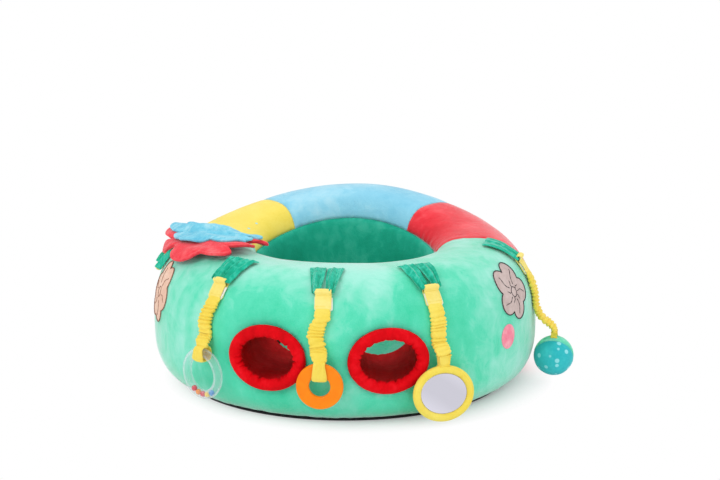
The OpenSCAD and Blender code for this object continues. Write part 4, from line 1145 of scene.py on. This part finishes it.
def leaf(name, cad, a0, a1, t0, t1, half_t, e, seed, lobes, thick, puffs=()):
    """Two layers of pile fabric sewn as one lobed leaf, laid over the ring.

    lobes are (direction in degrees, half width, reach, curl up in mm);
    puffs are filled bumps, as (place along, place across, radius, height)."""
    def outline(q):
        far, curl = LEAF_BASE, 0.0
        for q0, wide, tip, lift in lobes:
            d = abs((math.degrees(q) - q0 + 180) % 360 - 180) / wide
            if d < 1:
                k = (1 - d ** 2.2) ** 0.6
                far, curl = max(far, lerp(LEAF_BASE, tip, k)), curl + lift * k
        return far * (1 + 0.03 * n3((cos(q) * 2, sin(q) * 2, seed), 2.0)), curl * 0.001

    def place(u, v):
        q, k = u * TAU, v ** 0.85
        f, curl = outline(q)
        f = lerp(LEAF_BASE, f, smooth(v / 0.55))
        along, side = 0.5 + 0.52 * cos(q) * f * k, 1.12 * sin(q) * f * k
        a = lerp(a0, a1, along) + 3 * side
        t = lerp(t0, t1, along) + side * half_t
        p = on_ring(a, t, e)
        wave = 0.0022 * n3(p, 20, 5) + 0.0010 * n3(p, 62, seed + 3)
        # folds that run along the leaf, and each lobe puffed behind its seam
        fold = 0.0017 * smooth(k * 2) * sin(side * 8 + along * 3 + seed + 1.5 * n3((along * 2, side, seed), 1.4))
        plump = 0.0018 * bell(k - 0.74, 0.2) * clamp((f - LEAF_BASE) * 3)
        # the droop of the end that passes the ring's shoulder is held back, as stiff crinkle film does
        stiff = 0.007 * clamp((0.30 - along) * 3) ** 2
        puff = 0.0
        for at_along, at_side, wide, high in puffs:
            r = math.hypot((along - at_along) * LEAF_L, (side - at_side) * LEAF_HALF_W) / wide
            puff += high * max(0.0, 1 - r ** 2.2) * (1 + 0.12 * n3(p, 120, 2))
        seam = -0.0009 * bell(k - 0.91, 0.026)
        return on_ring(a, t, e + 0.0011 + wave + fold + plump + curl * k ** 3 + stiff + puff + seam)
    obj = finish(name, grid(int(220 * RES), int(36 * RES), place, True), cad, cad, cad,
                 lambda c: Vector((c.x * 0.3, c.y * 0.3, 1)))
    area = thickened(obj, thick, 0.0)
    subdivide(obj)


leaf("leaf_under", "leaf_red", -95, -42, 66, 98, 27, 0.0088, 0.6,
     ((166, 14, 0.80, 3), (205, 16, 1.08, 6), (239, 17, 1.10, 0), (292, 22, 1.22, 0), (322, 17, 1.22, 0),
      (352, 16, 1.0, 1), (58, 20, 1.12, 9), (116, 24, 0.78, 2)), 0.0042)
leaf("leaf_over", "leaf_blue", -93, -52, 74, 100, 22, 0.0134, 2.1,
     ((214, 17, 1.18, 3), (176, 24, 0.76, 1), (136, 24, 0.74, 1), (98, 30, 0.84, 2), (50, 24, 1.12, 9),
      (8, 18, 1.02, 2), (341, 20, 1.22, 0), (296, 32, 1.0, 0), (254, 24, 0.92, 0)), 0.0034,
     ((0.42, 0.05, 0.022, 0.0105), (0.62, 0.05, 0.012, 0.0040)))


def leaf_tab():
    """The yellow tab that runs from under the leaf round its loop's bar and back."""
    a, bar_t, _ = PLACES["leaf"]
    x, _ = toy_axes(a)
    br, bz = off(bar_t, BAR_E)
    ring = BAR_D / 2 + TAB_GAP + TAB_T / 2
    g = (Vector(off(bar_t - 1, 0)) - Vector(off(bar_t, 0))).normalized()
    up = (Vector((br, bz)) - Vector(sec(bar_t))).normalized()
    pts = [tuple(off(lerp(80, bar_t + 2, i / 8), lerp(0.0078, 0.0052, i / 8))) for i in range(9)]
    pts += [tuple(Vector((br, bz)) + g * cos(rad(q)) * ring + up * sin(rad(q)) * ring)
            for q in (60, 30, 0, -30, -60, -90)]
    pts += [tuple(off(lerp(bar_t + 2, 80, i / 8), lerp(0.0012, 0.0055, i / 8))) for i in range(9)]
    n = int(100 * RES)
    line, _ = fine(pts, n)

    def place(u, v):
        p = line[int(round(u * n))]
        return at(a, p.x, p.y) + x * ((v * 2 - 1) * TAB_W / 2)
    obj = finish("leaf_fold", grid(n, 12, place), "tape", "leaf_red", "leaf_tab",
                 lambda c: c - at(a, br, bz - 0.002))
    area = thickened(obj, 0.0012, 0.0)


leaf_tab()


# ---- sewn patches ---------------------------------------------------------------------------------
def patch(name, word, a, z, w, h, lobes, depth, mat, thread=None, spokes=(), turn=0.0):
    """A plain lobed patch with a satin-stitched edge and, if asked, embroidered spokes and an eye."""
    def lay(x, y, e):
        t = t_outside(z + y)
        aa = a + x / sec(t)[0] * 180 / math.pi
        return on_ring(aa, t, e + skin_height(aa, t, on_ring(aa, t), True) * 0.9)

    def edge(q, k=1.0):
        f = (1 - depth * (1 - abs(cos(lobes * q / 2 + turn)) ** 0.8)) * k
        return w / 2 * cos(q) * f, h / 2 * sin(q) * f

    def place(u, v):
        x, y = edge(u * TAU, v)
        return lay(x, y, 0.0003 + 0.0008 * (1 - v ** 8))
    obj = finish(name, grid(120, 20, place, True), mat, "seat", "patch_" + word,
                 lambda c: Vector((c.x, c.y, 0)))
    area = thickened(obj, 0.0008)
    if not thread:
        return

    def stitch(points, k, closed, radius):
        tube("%s_thread_%d" % (name, k), points,
             lambda s, q: radius + 0.00014 * sin(s * 640 if closed else s * 120), 6, closed, thread, "seat")
    circle = [i / 160 * TAU for i in range(160)]
    stitch([lay(*edge(q), 0.0008) for q in circle], 0, True, 0.00062)
    stitch([lay(w * 0.085 * cos(q), h * 0.085 * sin(q), 0.0012) for q in circle[::2]], 1, True, 0.0005)
    for i, (k0, k1) in enumerate(spokes * lobes):
        q = ((i // len(spokes)) * TAU - 2 * turn) / lobes + (math.pi / lobes if i % len(spokes) else 0)
        stitch([lay(*edge(q + 0.10 * sin(j * 0.3), lerp(k0, k1, j / 16)), 0.0012) for j in range(17)],
               2 + i, False, 0.00045)


patch("dot_cloth", "dot", 59, 0.096, 0.034, 0.034, 1, 0, "pink")
patch("peach_motif", "peach", -69, 0.136, 0.074, 0.084, 6, 0.22, "peach", "brown_thread", ((0.3, 0.78),), 0.5)
patch("taupe_motif", "taupe", 66, 0.150, 0.084, 0.076, 5, 0.30, "taupe", "dark_thread",
      ((0.26, 0.8), (0.26, 0.5)), 0.3)


# ---- camera, floor and light ----------------------------------------------------------------------
def aim(obj, where, direction):
    """Puts a camera or a light at a place, looking in a direction."""
    obj.location = where
    obj.rotation_mode = "QUATERNION"
    obj.rotation_quaternion = direction.to_track_quat("-Z", "Y")


PHOTO_W, PHOTO_H, FOCAL = 720, 480, 1794  # in pixels
CENTRE_X, CENTRE_Y = 345, 309             # where the ring's middle is in the photograph
AZ, EL, DIST = rad(5), rad(15.5), 2.6
cam_data = bpy.data.cameras.new("camera")
cam = linked("camera", cam_data)
bpy.context.scene.camera = cam
back = Vector((sin(AZ) * cos(EL), -cos(AZ) * cos(EL), sin(EL)))
aim(cam, Vector((0, 0, 0.09)) + back * DIST, -back)
cam_data.sensor_width, cam_data.lens = 36, FOCAL * 36 / PHOTO_W
cam_data.shift_x, cam_data.shift_y = (PHOTO_W / 2 - CENTRE_X) / PHOTO_W, (CENTRE_Y - PHOTO_H / 2) / PHOTO_W
cam_data.clip_start, cam_data.clip_end = 0.05, 50


def seen(kit):
    """1 for rays that show the white surroundings: from the camera, a gloss or a clear piece."""
    path = [kit.node("LightPath", out=o) for o in ("Is Camera Ray", "Is Glossy Ray", "Is Transmission Ray")]
    return (path[0] + path[1] + path[2]).span(0, 1)


bm = bmesh.new()
bmesh.ops.create_grid(bm, x_segments=2, y_segments=2, size=9)
me = bpy.data.meshes.new("floor")
bm.to_mesh(me)
bm.free()
floor = linked("floor", me)
# painted counter-tint: pinkish where it faces the seat, to cancel the green light the seat bounces on to it; fading
# to the white surroundings outside its shadow
k = Kit("floor_white")
place = k.node("Mapping", values={"Vector": k.node("TexCoord", out="Object"), "Location": (-0.02, 0, 0)})
away = k.node("VectorMath", {"operation": "LENGTH"}, {0: place}, "Value")
k.set(Base_Color=k.mix(away.span(0.20, 0.28), (0.95, 0.80, 0.85, 1), (0.97, 0.97, 0.97, 1)), Roughness=0.9)
k.set(Specular_IOR_Level=0.1)
white = k.node("Emission", values={"Color": (1, 1, 1, 1), "Strength": 1.0})
k.feed(k.out.inputs[0], k.node("MixShader", values={0: seen(k) * away.span(0.203, 0.284, 0.0, 1.0),
                                                    1: Wire(k, k.bsdf.outputs[0]), 2: white}))
me.materials.append(k.mat)

world = bpy.data.worlds.new("world")
bpy.context.scene.world = world
world.use_nodes = True
sky = Kit("sky")
bpy.data.materials.remove(sky.mat)
sky.tree = world.node_tree
sky.feed(world.node_tree.nodes["Background"].inputs[0], (1, 1, 1, 1))
sky.feed(world.node_tree.nodes["Background"].inputs[1], seen(sky).span(0, 1, 0.80, 1.0))


def area_light(name, where, size, power):
    data = bpy.data.lights.new(name, "AREA")
    data.shape, data.size, data.energy = "DISK", size, power
    aim(linked(name, data), where, Vector((0, 0, 0.1)) - Vector(where))


area_light("key", (-1.6, -1.9, 2.6), 1.6, 26)
area_light("fill", (2.4, -1.6, 1.6), 2.2, 9)
area_light("top", (0.2, 1.4, 2.6), 1.8, 13)

bpy.context.scene.view_settings.view_transform = "Standard"
